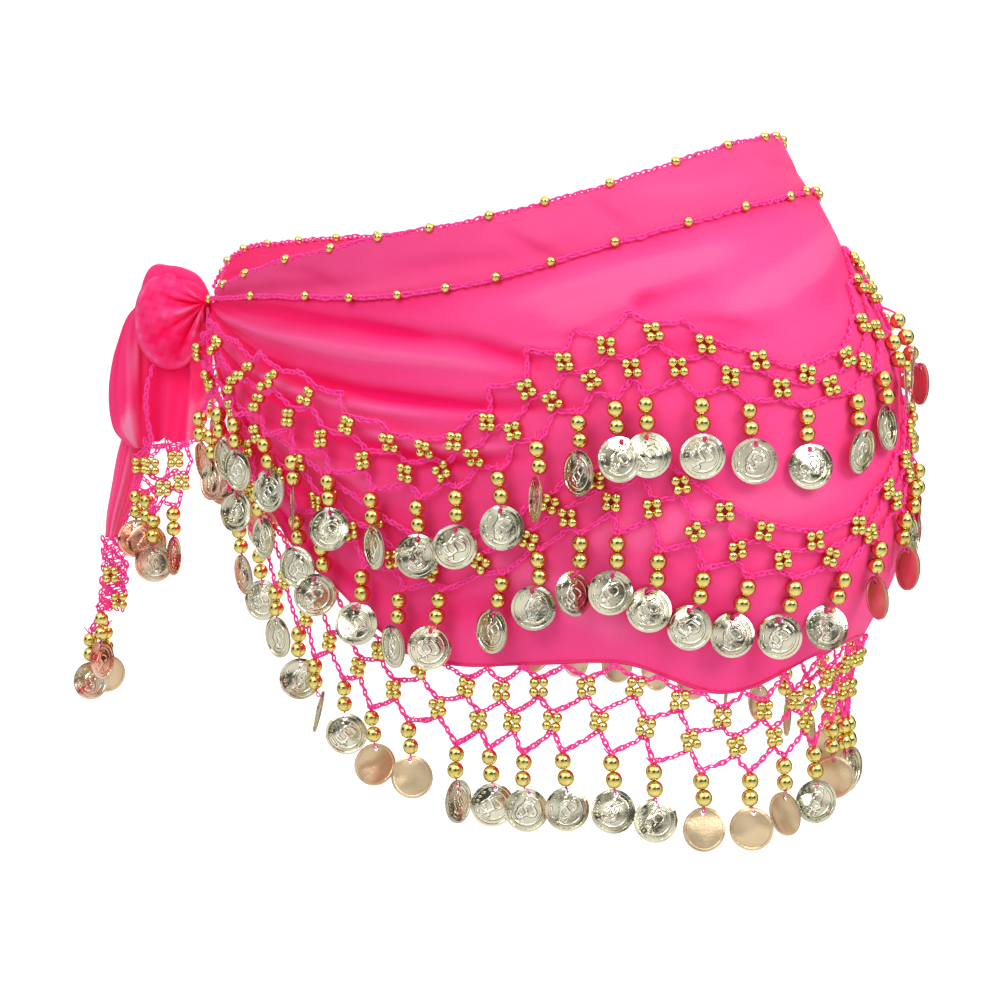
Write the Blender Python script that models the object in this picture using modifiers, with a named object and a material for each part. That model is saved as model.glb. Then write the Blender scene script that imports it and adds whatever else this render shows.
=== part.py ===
"""Belly dance hip scarf, tied round a general hip form.

Sheer chiffon wound round the hips in two stretches, crochet edgings, three scalloped
crochet nets with coin pendants, and a knot at the front of the wearer's right hip with two
tails. Everything is worked out in millimetres and written to the meshes in metres.

+Z is up, +X is the wearer's left and -Y the wearer's front. The origin is the middle of the
waist hold. A place on the hips is a turn in degrees, counted from the knot across the front
to the wearer's left and round the back, with a height, and how proud it stands of the hips.
"""
import math

import bpy
import numpy as np
from mathutils import Vector

MM = 0.001

# ---------------------------------------------------------------- driving dimensions

# General hip form that the scarf was tied on: sideways half breadth and front-to-back half
# depth of each ring, and how far the ring is pushed over as the hip is thrown out.
HIP_RINGS = (
    # height, push, half breadth, half depth
    (-262, 14, 144, 96.5),
    (-215, 14, 144, 96.5),
    (-173, 12.5, 146, 97.5),
    (-128, 19.5, 160, 107),
    (-84, 17.5, 165, 110.5),
    (-51, 14.5, 163, 109),
    (-32, 10.5, 157, 105),
    (-11, 6, 149, 99.5),
    (10, 1, 141, 94),
    (28, -3, 134, 90),
    (48, -7, 129, 86),
)
PUSH_ANGLE = math.radians(52)
KNOT_ANGLE = -139.4

CLOTH = 1.2
SEAM_GAP = 0.3
BAND_PROUD = 0.0
WRAP_PROUD = BAND_PROUD + CLOTH + SEAM_GAP
BAND_TUCK = 13.0
BAND_UNDER = -4.2
WALL_START = 3.0
WALL_END = 357.0
WALL_COLUMNS = 52
WRAP_ROWS = 8

# Top edge of the inner stretch, and how much of that stretch shows above the outer one.
TOP_EDGE = (
    # turn, top height, showing
    (3, -31, 3), (22, -26.5, 6), (39, -20, 12), (51, -16, 16), (65, -11, 21.5),
    (83, -5, 22), (106, 6, 19.5), (120, 13.5, 20), (134, 20, 20.5), (146, 24, 21),
    (165, 27, 20), (190, 23, 20), (215, 14, 20), (240, 6, 20), (270, -1, 19),
    (300, -5, 17), (330, -9, 12), (345, -13, 8), (352, -18, 5), (357, -25, 3),
)

# Creases that fan out from the knot, and a few soft ones pulled by the top net.
CREASES = (
    # start turn, start height, end turn, end height, half width, depth
    (12, -43, 80, -53, 5.0, -1.9),
    (12, -38, 88, -69, 6.0, 2.4),
    (14, -42, 78, -81, 6.0, -2.0),
    (30, -62, 76, -98, 7.0, 1.6),
    (84, -44, 102, -30, 4.5, 1.2),
    (96, -52, 132, -34, 6.0, -1.2),
    (128, -18, 172, -4, 6.0, 1.4),
    (140, -84, 186, -60, 9.0, -1.2),
    (196, -30, 262, -16, 9.0, 1.2),
    (214, -70, 292, -52, 10.0, -1.4),
    (270, -34, 350, -34, 6.0, 2.2),
    (274, -66, 347, -42, 7.0, -2.2),
    (286, -96, 345, -52, 7.0, 2.0),
)

# Nets, counted from the hem outward. The lift is how far the top cord rises between two
# clusters, to the edge of the cloth in the hem net. The drop is from a cluster to the dip of
# the lowest cord, where a pendant hangs, and the slant is how many degrees of turn the
# upper cluster lies beyond that pendant.
UPPER_NET = (
    # column, turn of the pendant, height of the upper clusters, lift, drop, slant
    (0, 17.5, -53, 5, 23, 0), (1, 28.9, -49.7, 6, 23.6, 0.5), (2, 34.6, -59.3, 7.5, 17.2, 3.9),
    (3, 43, -62.2, 7.6, 21, 3.1), (4, 49, -67.7, 6.6, 21.1, 3.9), (5, 55.9, -77.8, 5.8, 17.5, 3.9),
    (6, 63.3, -83.7, 4.2, 17.2, 3.5), (7, 70.8, -85.4, 3.5, 17.4, 1.5),
    (8, 77, -82.2, 4.9, 16.3, 0.1), (9, 83.5, -75.2, 6.8, 15.9, -1.7),
    (10, 89.5, -63.3, 8, 16.9, -1.5), (11, 95.4, -53.7, 8.7, 17.2, -1.5),
    (12, 100.8, -48.1, 8.8, 17.8, -0.4), (13, 105.2, -43.2, 7.6, 21.2, 2.8),
    (14, 113.1, -47.4, 4, 17.4, 2.6), (15, 121, -53, 3, 13.6, 3), (16, 130.8, -58, 3, 10.9, 1.7),
    (17, 142.5, -52.3, 5.3, 12, 0), (18, 151.5, -40.4, 8, 16.3, 0), (20, 169, -18, 8, 18, 0),
    (23, 194, -44, 4, 16, 0), (26, 219, -20, 8, 19, 0), (30, 257, -52, 4, 16, 0),
    (33, 285, -32, 8, 19, 0), (36, 311, -60, 4, 18, 0), (38, 329, -58, 4, 20, 0),
    (40, 347, -50, 4, 20, 0),
)
MIDDLE_NET = (
    (0, 20, -64, 4, 19, 1), (1, 30.7, -74, 4, 19.4, 1.8), (2, 37.2, -83, 4, 19.5, 2.5),
    (3, 46.9, -92.5, 4, 19, 2.6), (4, 52.4, -102.2, 4, 18.5, 2.6), (5, 60.1, -112.6, 4, 17.5, 2.5),
    (6, 67, -120.5, 4, 16.9, 2), (7, 74, -121, 4, 15.1, 1.5), (8, 83, -112.8, 6, 16.1, 1.5),
    (9, 88.4, -103.6, 7, 16.1, 1.7), (10, 94.3, -94.8, 8, 18.7, 2.8),
    (11, 99.9, -88.3, 8, 24.8, 3.9), (12, 106.1, -96.2, 6, 23.1, 3.5),
    (13, 113.4, -105.4, 4, 20.2, 2.7), (14, 121.1, -112.6, 4, 16.1, 1.7),
    (15, 129.8, -116.4, 4, 13.2, 2.8), (16, 139.9, -112, 5, 15.5, 2.5),
    (17, 149, -99.9, 7, 17.8, 2.5), (18, 158.5, -90, 8, 18.7, 1.5), (20, 171, -74, 8, 18, 0),
    (23, 198, -98, 4, 16, 0), (26, 224, -72, 8, 19, 0), (30, 259, -98, 4, 16, 0),
    (33, 285, -77, 8, 19, 0), (36, 310, -94, 4, 18, 0), (38, 328, -83, 4, 20, 0),
    (40, 343, -70, 4, 20, 0),
)
HEM_NET = (
    (0, 14, -66, 14, 20, 0), (1, 22.9, -99.3, 17.5, 21, 3), (2, 31.4, -107.4, 8.5, 21, 0.5),
    (3, 36.6, -120.8, 6.5, 21, 0.5), (4, 43, -135.2, 6.5, 21, 0.5), (5, 47.5, -146, 9.5, 21.5, 2),
    (6, 54.6, -152, 7.5, 22.1, 0.5), (7, 60.6, -161.5, 6, 22.4, 2), (8, 68.2, -166.5, 4.5, 20, 2.4),
    (9, 76.8, -172, 7.5, 21.4, 2.2), (10, 82.7, -172.5, 9.5, 20.9, 2.4),
    (11, 88.4, -170.2, 8, 24.1, 2.9), (12, 95.4, -169.4, 9, 23.6, 3.7),
    (13, 103.5, -169, 7, 24.1, 3.8), (14, 110.9, -173.8, 5.5, 22.3, 4.6),
    (15, 119.7, -180.4, 8.5, 19.2, 4.2), (16, 129.6, -178.7, 10, 21.7, 3.2),
    (17, 138.1, -176.2, 14, 20, 2.4), (18, 147.5, -169.4, 11, 24.3, 2), (19, 155, -166, 9, 20.5, 2),
    (20, 163, -165, 8, 22, 0), (23, 186, -168, 8.5, 22, 0), (27, 219, -157, 8.5, 21, 0),
    (31, 252, -149, 8, 21, 0), (34, 279, -146, 9, 21, 0), (36, 298, -138, 11, 21, 0),
    (38, 318, -120, 14, 20, 0), (40, 338, -90, 14, 20, 0),
)
HEM_LINE = (
    # turn, height of the hem
    (4, -40), (14, -52), (27.5, -86), (41, -124), (53, -141), (60, -152), (67, -160), (76, -164.5),
    (88.5, -162.5), (104.5, -161), (121, -171.5), (130, -170.5), (143.5, -160.5), (159, -157),
    (184, -160), (218, -149), (252, -141), (279, -137), (298, -127), (318, -106), (338, -76),
    (355, -40),
)
LAST_COLUMN = 40
SPLIT_COLUMN = 20

CORD = 2.0
NET_THICK = 1.5
NET_PROUD = WRAP_PROUD + CLOTH + 3 * SEAM_GAP
CLUSTER_TALL = 4.2
CLUSTER_WIDE = 3.6
ROW_SHARE = 0.54
SLANT_SHARE = 0.6
LINE_BELOW_CLUSTER = CLUSTER_TALL + CORD / 2 + SEAM_GAP
BEAD_COLUMN = 13.0
BEAD_COLUMN_WIDE = 3.4
COIN = 16.0
COIN_FILL = 0.84
FRINGE_THICK = 1.4
LAYER_STEP = NET_THICK + 3 * SEAM_GAP
CROWDED_TO = 45.0
CROWDED_FADE = 35.0
CLEAR_OF_NET = 7.0
CLEAR_FADE = 6.0

EDGING = 2.2
TOP_EDGING_RISE = EDGING / 2 + SEAM_GAP
OUTER_EDGING_RISE = EDGING / 2 + 3 * SEAM_GAP
EDGING_POINTS = 52

# Knot and tails, in the knot's own directions: out sideways from the middle of the hips,
# along the hips across the front, and up.
KNOT_MIDDLE = (134.5, -47, -37.5)
KNOT_HALF = (15, 12, 18.5)
PETAL = (
    # height, outer edge, inner edge, bulge
    (-22, 146, 130, 1.0), (-28, 150, 124, 2.5), (-36, 152, 121.5, 4.5),
    (-45, 151, 122, 5.0), (-52, 147.5, 125, 4.0), (-57.5, 143, 129, 2.5), (-60.5, 139, 133, 1.0),
)
BOW_LOOP = (
    # height, middle across, middle along, radius
    (-34, 149.0, -57.5, 2.5), (-39, 151.5, -59, 4.4), (-47, 152.8, -59, 6.2), (-57, 153.0, -58, 7.6),
    (-69, 153.0, -57, 8.0), (-81, 152.5, -56, 7.0), (-92, 151.0, -55, 4.5),
)
LONG_TAIL = (
    (-47, 138.5, -61.0, 3.0), (-61, 143.5, -66.9, 4.0), (-78, 149.5, -68.5, 5.2), (-96, 154.2, -67, 6.2),
    (-110, 157.5, -64, 5.6), (-122, 161, -62, 4.4), (-132, 163.5, -61, 2.8),
)
SHORT_TAIL = (
    # share of the drop, outer edge, inner edge, fold depth
    (0.0, 146, 120, 0.4), (0.25, 146.5, 119, 1.4), (0.5, 146.5, 120, 2.2),
    (0.75, 146, 121.5, 2.6), (1.0, 145.5, 123, 2.2),
)
SHORT_TAIL_TOP = -44.0
SHORT_TAIL_HEM = -91.0
SHORT_TAIL_ALONG = -43.0
UNDER_KNOT = 0.4
SHORT_TAIL_FOLDS = 2.5
TAIL_COLUMNS = 8
SHORT_TAIL_NET = (
    # column, place from the outer edge, height, lift, drop, slant
    (0, 1, -101, 10.7, 20, 0), (1, 11, -98, 7.7, 19, 0),
)
LONG_TAIL_LACE = (
    # height, outer edge, inner edge
    (-132.6, 166.4, 160), (-142, 166.6, 158.2), (-151, 167, 158.2), (-160, 168.6, 159.6),
)
SHORT_TAIL_PENDANTS = (
    # across, along, height of the root, degrees that the coin is turned away; None for a peak
    # of the cord with no pendant
    (152.0, -52.0, -110.5, 15), (147.0, -47.5, -112.0, 8), (143.8, -43.0, -120.0, 0),
    (139.5, -43.0, -115.6, None), (133.5, -43.0, -117.5, 70),
)
LACE_ALONG = -59.0
SHORT_TAIL_COIN_HALF = 6.8
LONG_TAIL_COIN_HALF = 3.6
LONG_TAIL_PENDANTS = (
    # across, along, height of the root, degrees that the coin is turned away
    (168, -58.3, -162.4, 60), (173.5, -64, -172, 35), (167.5, -69, -169.5, 20),
)


# ---------------------------------------------------------------- shape rules

def smooth_row(rows, at):
    """Read a table between its rows, along a soft curve through them."""
    keys = [row[0] for row in rows]
    if at <= keys[0]:
        return np.array(rows[0][1:], float)
    if at >= keys[-1]:
        return np.array(rows[-1][1:], float)
    low = max(i for i, key in enumerate(keys) if key <= at)
    high = low + 1
    before = max(low - 1, 0)
    after = min(high + 1, len(rows) - 1)
    value = [np.array(rows[i][1:], float) for i in (before, low, high, after)]
    span = keys[high] - keys[low]
    slope_low = (value[2] - value[0]) / (keys[high] - keys[before]) * span
    slope_high = (value[3] - value[1]) / (keys[after] - keys[low]) * span
    t = (at - keys[low]) / span
    return ((2 * t**3 - 3 * t**2 + 1) * value[1] + (t**3 - 2 * t**2 + t) * slope_low
            + (3 * t**2 - 2 * t**3) * value[2] + (t**3 - t**2) * slope_high)


def crease(turn, height):
    """How far the creases push the cloth in or out at one place."""
    push = 0.0
    for start, high, end, low, half_width, depth in CREASES:
        along = (turn - start) / (end - start)
        if 0 < along < 1:
            off = (height - (high + (low - high) * along)) / half_width
            push += depth * math.exp(-off * off) * math.sin(math.pi * along) ** 0.7
    return push


def hip_point(turn, height, proud, creased=True):
    """A point on the tied scarf, in millimetres."""
    push, breadth, depth = smooth_row(HIP_RINGS, height)
    angle = math.radians(KNOT_ANGLE + turn)
    out = Vector((math.cos(angle) / breadth, math.sin(angle) / depth, 0)).normalized()
    middle = Vector((math.cos(PUSH_ANGLE), math.sin(PUSH_ANGLE), 0)) * push
    ring = Vector((math.cos(angle) * breadth, math.sin(angle) * depth, height))
    return middle + ring + out * (proud + (crease(turn, height) if creased else 0))


def turn_for(turn, height, length):
    """The turn that a length along the ring takes up at one place."""
    step = hip_point(turn + 1, height, 0) - hip_point(turn, height, 0)
    return length / step.length


def top_height(turn):
    return smooth_row(TOP_EDGE, turn)[0]


def wrap_top_height(turn):
    top, showing = smooth_row(TOP_EDGE, turn)
    return top - showing


def hem_height(turn):
    return smooth_row(HEM_LINE, turn)[0]


def crowding(turn):
    """One where the nets run over each other beside the knot, nought where they lie apart."""
    from_knot = min(turn, 360 - turn)
    return min(max(1 - (from_knot - CROWDED_TO) / CROWDED_FADE, 0.0), 1.0)


def net_top(rows, turn):
    """Height of a net's top cord at a turn."""
    edge = [(row_turn + slant, height + lift) for _, row_turn, height, lift, _, slant in rows]
    return smooth_row(edge, min(max(turn, edge[0][0]), edge[-1][0]))[0]


def hanging_steps(layer, turn, height):
    """Steps that a pendant stands out, to clear only the nets that it hangs over."""
    if layer == 0:
        return 0
    below = (HEM_NET, MIDDLE_NET)[layer - 1]
    foot = height - BEAD_COLUMN - COIN
    over = min(max((net_top(below, turn) + CLEAR_OF_NET - foot) / CLEAR_FADE, 0.0), 1.0)
    return (layer - 1) * crowding(turn) + max(crowding(turn), over)


def knot_point(across, along, height):
    """A point given in the knot's own directions."""
    out = Vector((-math.cos(PUSH_ANGLE), -math.sin(PUSH_ANGLE), 0))
    front = Vector((math.sin(PUSH_ANGLE), -math.cos(PUSH_ANGLE), 0))
    return out * across + front * along + Vector((0, 0, height))


def knot_front(across, height):
    """Where a cloth that lies on the front of the knot runs, along the hips."""
    side = (across - KNOT_MIDDLE[0]) / (KNOT_HALF[0] + 2)
    rise = (height - KNOT_MIDDLE[2]) / (KNOT_HALF[2] + 14)
    bulge = max(1 - side * side - rise * rise, 0.0) ** 0.5
    return KNOT_MIDDLE[1] + KNOT_HALF[1] * bulge + SEAM_GAP


# ---------------------------------------------------------------- mesh and material helpers

def new_collection(name):
    collection = bpy.data.collections.new(name)
    bpy.context.scene.collection.children.link(collection)
    return collection


def new_material(name, colour, roughness, metallic):
    material = bpy.data.materials.new(name)
    material.use_nodes = True
    shader = material.node_tree.nodes["Principled BSDF"]
    shader.inputs["Base Color"].default_value = (*colour, 1)
    shader.inputs["Roughness"].default_value = roughness
    shader.inputs["Metallic"].default_value = metallic
    return material


def add_piece(name, points, faces, material, thickness=0.0):
    """A mesh object from points in millimetres; an open surface gets its thickness."""
    mesh = bpy.data.meshes.new(name)
    mesh.from_pydata([point * MM for point in points], [], faces)
    mesh.materials.append(material)
    piece = bpy.data.objects.new(name, mesh)
    PARTS.objects.link(piece)
    if thickness:
        wall = piece.modifiers.new("thickness", "SOLIDIFY")
        wall.thickness = thickness * MM
        wall.offset = 1
    return piece


def grid_faces(columns, rows):
    """Faces of a grid whose points run down each column; seen from outside, columns go right."""
    faces = []
    for column in range(columns):
        for row in range(rows):
            corner = column * (rows + 1) + row
            faces.append((corner, corner + 1, corner + rows + 2, corner + rows + 1))
    return faces


# ---------------------------------------------------------------- the two wound stretches

def wall_turns():
    return [WALL_START + (WALL_END - WALL_START) * i / WALL_COLUMNS for i in range(WALL_COLUMNS + 1)]


def add_inner_stretch():
    """It shows as a smooth band, and its lower edge is drawn in under the outer stretch."""
    points = []
    for turn in wall_turns():
        hidden = max(wrap_top_height(turn) - BAND_TUCK, hem_height(turn) + 2)
        points.append(hip_point(turn, top_height(turn), BAND_PROUD, False))
        points.append(hip_point(turn, wrap_top_height(turn) + SEAM_GAP, BAND_PROUD - SEAM_GAP, False))
        points.append(hip_point(turn, hidden, BAND_UNDER, False))
    add_piece("inner_stretch", points, grid_faces(WALL_COLUMNS, 2), CHIFFON, CLOTH)


def add_outer_stretch():
    points = []
    for turn in wall_turns():
        top = wrap_top_height(turn)
        for row in range(WRAP_ROWS + 1):
            height = top + (hem_height(turn) - top) * row / WRAP_ROWS
            points.append(hip_point(turn, height, WRAP_PROUD))
    add_piece("outer_stretch", points, grid_faces(WALL_COLUMNS, WRAP_ROWS), CHIFFON, CLOTH)


# ---------------------------------------------------------------- crochet edgings

def add_cord(name, points, diameter, material):
    curve = bpy.data.curves.new(name, "CURVE")
    curve.dimensions = "3D"
    curve.bevel_depth = diameter / 2 * MM
    curve.bevel_resolution = 0
    curve.use_fill_caps = True
    spline = curve.splines.new("POLY")
    spline.points.add(len(points) - 1)
    for spot, point in zip(spline.points, points):
        spot.co = (*(point * MM), 1)
    curve.materials.append(material)
    cord = bpy.data.objects.new(name, curve)
    PARTS.objects.link(cord)
    return cord


def add_edging(name, edge, rise, proud):
    points = []
    for step in range(EDGING_POINTS + 1):
        turn = WALL_START + (WALL_END - WALL_START) * step / EDGING_POINTS
        points.append(hip_point(turn, edge(turn) + rise, proud))
    return add_cord(name, points, EDGING, CROCHET)


def add_edgings():
    add_edging("top_edging", top_height, TOP_EDGING_RISE, BAND_PROUD + CLOTH / 2)
    add_edging("outer_edging", wrap_top_height, OUTER_EDGING_RISE, WRAP_PROUD + EDGING / 2 + SEAM_GAP)


# ---------------------------------------------------------------- nets

class Net:
    """Points named by what they are, shared by the faces that meet there."""

    def __init__(self, place, layer):
        self.place = place
        self.layer = layer
        self.points = []
        self.names = {}
        self.faces = []

    def point(self, name, across, height, shift, steps=None):
        """A cord stands out a step for each net below it where they crowd beside the knot."""
        if name not in self.names:
            self.names[name] = len(self.points)
            if steps is None:
                steps = self.layer * crowding(across)
            self.points.append(self.place(across, height, shift, NET_PROUD + LAYER_STEP * steps))
        return self.names[name]

    def face(self, *corners):
        self.faces.append(corners)

    def diamond(self, name, across, height):
        """A bead cluster: its left, bottom, right and top points."""
        corners = (
            self.point(name + "left", across, height, -CLUSTER_WIDE),
            self.point(name + "bottom", across, height - CLUSTER_TALL, 0),
            self.point(name + "right", across, height, CLUSTER_WIDE),
            self.point(name + "top", across, height + CLUSTER_TALL, 0),
        )
        self.face(*corners)
        return corners

    def cord_end(self, name, across, height, shift=0.0):
        """Upper and lower point across a cord."""
        return (self.point(name + "upper", across, height + CORD / 2, shift),
                self.point(name + "lower", across, height - CORD / 2, shift))


def on_hips(turn, height, shift, proud):
    return hip_point(turn + turn_for(turn, height, shift), height, proud)


def net_row(rows, column):
    """Turn, cluster height, lift, drop and slant; it runs on evenly past both ends."""
    inside = min(max(column, rows[0][0]), rows[-1][0])
    mirrored = smooth_row(rows, 2 * inside - column)
    return 2 * smooth_row(rows, inside) - mirrored


def add_lower_cluster(net, rows, column):
    turn, height, _, drop, slant = net_row(rows, column)
    return net.diamond(f"lower{column}", turn + slant * SLANT_SHARE, height - drop * ROW_SHARE)


def add_net(name, rows, first, last, layer, place=on_hips, final=LAST_COLUMN):
    """Top cord, upper clusters, second cord and lower clusters of a stretch of net."""
    net = Net(place, layer)
    for column in range(first, last + 1):
        turn, height, _, _, slant = net_row(rows, column)
        left, bottom, right, top = net.diamond(f"upper{column}", turn + slant, height)
        for side, across in (("before", column - 0.5), ("after", column + 0.5)):
            peak_turn, peak_height, lift, _, slant = net_row(rows, across)
            inset = SEAM_GAP if across < first and first > 0 else 0.0
            ends = net.cord_end(f"peak{across}", peak_turn + slant, peak_height + lift - CORD, inset)
            if side == "before":
                net.face(ends[0], ends[1], left, top)
            else:
                net.face(top, right, ends[1], ends[0])
        if column > first:
            low = add_lower_cluster(net, rows, column - 0.5)
            net.face(low[3], low[2], bottom, left)
            net.face(previous_right, previous_bottom, low[0], low[3])
        previous_right = right
        previous_bottom = bottom
    if last < final:
        low = add_lower_cluster(net, rows, last + 0.5)
        net.face(previous_right, previous_bottom, low[0], low[3])
    return add_piece(name, net.points, net.faces, CROCHET, NET_THICK)


# ---------------------------------------------------------------- coin fringes

def coin_outline(half_width):
    """Six corners round a coin from its hanging hole, going down the left side."""
    half = COIN / 2
    return ((-BEAD_COLUMN_WIDE / 2, half * 0.95), (-half_width, half * 0.1),
            (-half_width * 0.55, -half * 0.97), (half_width * 0.55, -half * 0.97),
            (half_width, half * 0.1), (BEAD_COLUMN_WIDE / 2, half * 0.95))


def hang_pendant(net, name, across, height, half_width, ends):
    """Bead column and coin below the two points that the cord leaves open."""
    middle = height - BEAD_COLUMN - COIN / 2
    steps = hanging_steps(net.layer, across, height)
    coin = [net.point(f"{name}coin{i}", across, middle + rise, shift, steps)
            for i, (shift, rise) in enumerate(coin_outline(half_width))]
    net.face(ends[0], coin[0], coin[5], ends[1])
    net.face(*coin)


def add_fringe(name, rows, first, last, layer, place=on_hips, final=LAST_COLUMN):
    """Lowest cord of a net, the backing, and a pendant at each of its dips."""
    net = Net(place, layer)
    for column in range(first, last + 1):
        turn, row_height, _, drop, _ = net_row(rows, column)
        height = row_height - drop
        top = net.point(f"dip{column}", turn, height + CORD, 0)
        ends = (net.point(f"dip{column}left", turn, height, -BEAD_COLUMN_WIDE / 2),
                net.point(f"dip{column}right", turn, height, BEAD_COLUMN_WIDE / 2))
        net.face(top, ends[0], ends[1])
        near = net_row(rows, column + 1)[0] if column < final else net_row(rows, column - 1)[0]
        pitch = abs(near - turn) / turn_for(turn, height, 1) if place is on_hips else abs(near - turn)
        half_width = min(COIN / 2, pitch * COIN_FILL / 2)
        hang_pendant(net, f"pendant{column}", turn, height, half_width, ends)
        for side, across in (("before", column - 0.5), ("after", column + 0.5)):
            if across < 0 or across > final:
                continue
            if side == "after" or across < first:
                peak_turn, peak_height, _, drop, slant = net_row(rows, across)
                peak_turn += slant * SLANT_SHARE
                peak_height -= drop * ROW_SHARE + LINE_BELOW_CLUSTER
                inset = SEAM_GAP + CORD / 2 if across < first else 0.0
                peak = net.cord_end(f"peak{across}", peak_turn, peak_height, inset)
            else:
                peak = (net.names[f"peak{across}upper"], net.names[f"peak{across}lower"])
            if side == "before":
                net.face(peak[0], peak[1], ends[0], top)
            else:
                net.face(top, ends[1], peak[1], peak[0])
    return add_piece(name, net.points, net.faces, METAL, FRINGE_THICK)


def add_nets():
    """The three nets and their fringes, each split where it would close round the hips."""
    for layer, (name, rows) in enumerate((("hem", HEM_NET), ("middle", MIDDLE_NET), ("upper", UPPER_NET))):
        for side, first, last in (("left", 0, SPLIT_COLUMN), ("right", SPLIT_COLUMN + 1, LAST_COLUMN)):
            add_net(f"{name}_net_{side}", rows, first, last, layer)
            add_fringe(f"{name}_coins_{side}", rows, first, last, layer)


# ---------------------------------------------------------------- knot and tails

def add_knot():
    """Cloth wound on itself: an egg with a pinch where the turns pull together."""
    bpy.ops.mesh.primitive_uv_sphere_add(segments=14, ring_count=9, radius=1)
    knot = bpy.context.object
    knot.name = "knot"
    for collection in list(knot.users_collection):
        collection.objects.unlink(knot)
    PARTS.objects.link(knot)
    for vertex in knot.data.vertices:
        x, y, z = vertex.co
        lobe = 1 + 0.05 * math.cos(3 * math.atan2(z, x)) + 0.04 * math.sin(2 * math.atan2(y, x) + z)
        across, along, up = (m + h * v * lobe for m, h, v in zip(KNOT_MIDDLE, KNOT_HALF, (x, y, z)))
        vertex.co = knot_point(across, along, up) * MM
    if knot_is_mirrored():
        knot.data.flip_normals()
    knot.data.materials.append(CHIFFON)


def knot_is_mirrored():
    """True when the knot's own directions form a left-handed set."""
    zero = knot_point(0, 0, 0)
    across = knot_point(1, 0, 0) - zero
    along = knot_point(0, 1, 0) - zero
    return across.cross(along).z < 0


def add_petal():
    """The loop of cloth that falls over the front of the knot."""
    columns = 6
    points = []
    for column in range(columns + 1):
        side = column / columns
        for height, outer, inner, bulge in PETAL:
            across = outer + (inner - outer) * side
            along = knot_front(across, height) + bulge * math.sin(math.pi * side)
            points.append(knot_point(across, along, height))
    add_piece("knot_petal", points, grid_faces(columns, len(PETAL) - 1), CHIFFON, CLOTH)


def add_half_tube(name, rows, start, end):
    """A loop or a narrow tail: cloth bent round into an open channel."""
    columns = TAIL_COLUMNS
    points = []
    for column in range(columns + 1):
        angle = math.radians(start + (end - start) * column / columns)
        for height, across, along, radius in rows:
            points.append(knot_point(across - radius * math.cos(angle),
                                     along + radius * math.sin(angle), height))
    add_piece(name, points, grid_faces(columns, len(rows) - 1), CHIFFON, CLOTH)


def knot_underside(across):
    """Height of a line that runs just below the knot."""
    side = (across - KNOT_MIDDLE[0]) / (KNOT_HALF[0] + UNDER_KNOT)
    return KNOT_MIDDLE[2] - (KNOT_HALF[2] + UNDER_KNOT) * max(1 - side * side, 0) ** 0.5


def add_short_tail():
    columns = TAIL_COLUMNS
    points = []
    for column in range(columns + 1):
        side = column / columns
        for share, outer, inner, fold in SHORT_TAIL:
            across = outer + (inner - outer) * side
            top = min(knot_underside(across), SHORT_TAIL_TOP)
            wave = fold * math.cos(2 * math.pi * SHORT_TAIL_FOLDS * side)
            height = top + (SHORT_TAIL_HEM - top) * share
            points.append(knot_point(across, SHORT_TAIL_ALONG + wave, height))
    add_piece("short_tail", points, grid_faces(columns, len(SHORT_TAIL) - 1), CHIFFON, CLOTH)


def on_short_tail(place, height, shift, proud):
    """A point on the lace that carries the short tail on, below its cloth."""
    return knot_point(SHORT_TAIL[-1][1] - place - shift, SHORT_TAIL_ALONG + proud - NET_PROUD, height)


def add_short_tail_lace():
    last = len(SHORT_TAIL_NET) - 1
    add_net("short_tail_net", SHORT_TAIL_NET, 0, last, 0, on_short_tail, last)
    add_tail_coins("short_tail_coins", SHORT_TAIL_PENDANTS, SHORT_TAIL_COIN_HALF)


def add_tail_coins(name, pendants, half_width):
    """One cord with its pendants, each turned its own way."""
    def place(number, height, shift, _):
        across, along, _, turned = pendants[number]
        angle = math.radians(turned or 0)
        return knot_point(across - shift * math.cos(angle), along - shift * math.sin(angle), height)

    net = Net(place, 0)
    before = None
    for number, (_, _, height, turned) in enumerate(pendants):
        if turned is None:
            top, low = net.cord_end(f"peak{number}", number, height)
            ends = (low, low)
        else:
            top = net.point(f"dip{number}", number, height + CORD, 0)
            ends = (net.point(f"dip{number}left", number, height, -BEAD_COLUMN_WIDE / 2),
                    net.point(f"dip{number}right", number, height, BEAD_COLUMN_WIDE / 2))
            net.face(top, ends[0], ends[1])
            hang_pendant(net, f"pendant{number}", number, height, half_width, ends)
        if before:
            net.face(before[0], before[1], ends[0], top)
        before = (top, ends[1])
    add_piece(name, net.points, net.faces, METAL, FRINGE_THICK)


def add_long_tail_lace():
    """A strip of close crochet, and three pendants on one cord below it."""
    points = []
    for column in range(2):
        for height, outer, inner in LONG_TAIL_LACE:
            points.append(knot_point((outer, inner)[column], LACE_ALONG, height))
    faces = grid_faces(1, len(LONG_TAIL_LACE) - 1)
    add_piece("long_tail_lace", points, faces, CROCHET, NET_THICK)
    add_tail_coins("long_tail_coins", LONG_TAIL_PENDANTS, LONG_TAIL_COIN_HALF)


# ---------------------------------------------------------------- build

for old in list(bpy.data.objects):
    bpy.data.objects.remove(old, do_unlink=True)

PARTS = new_collection("belly_dance_hip_scarf")
CHIFFON = new_material("pink_chiffon", (0.87, 0.03, 0.20), 0.55, 0.0)
CROCHET = new_material("magenta_crochet", (0.80, 0.03, 0.33), 0.70, 0.0)
METAL = new_material("pale_gold", (0.80, 0.68, 0.42), 0.25, 1.0)

add_inner_stretch()
add_outer_stretch()
add_edgings()
add_nets()
add_knot()
add_petal()
add_half_tube("bow_loop", BOW_LOOP, 200, -20)
add_half_tube("long_tail", LONG_TAIL, 200, -20)
add_short_tail()
add_short_tail_lace()
add_long_tail_lace()
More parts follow.
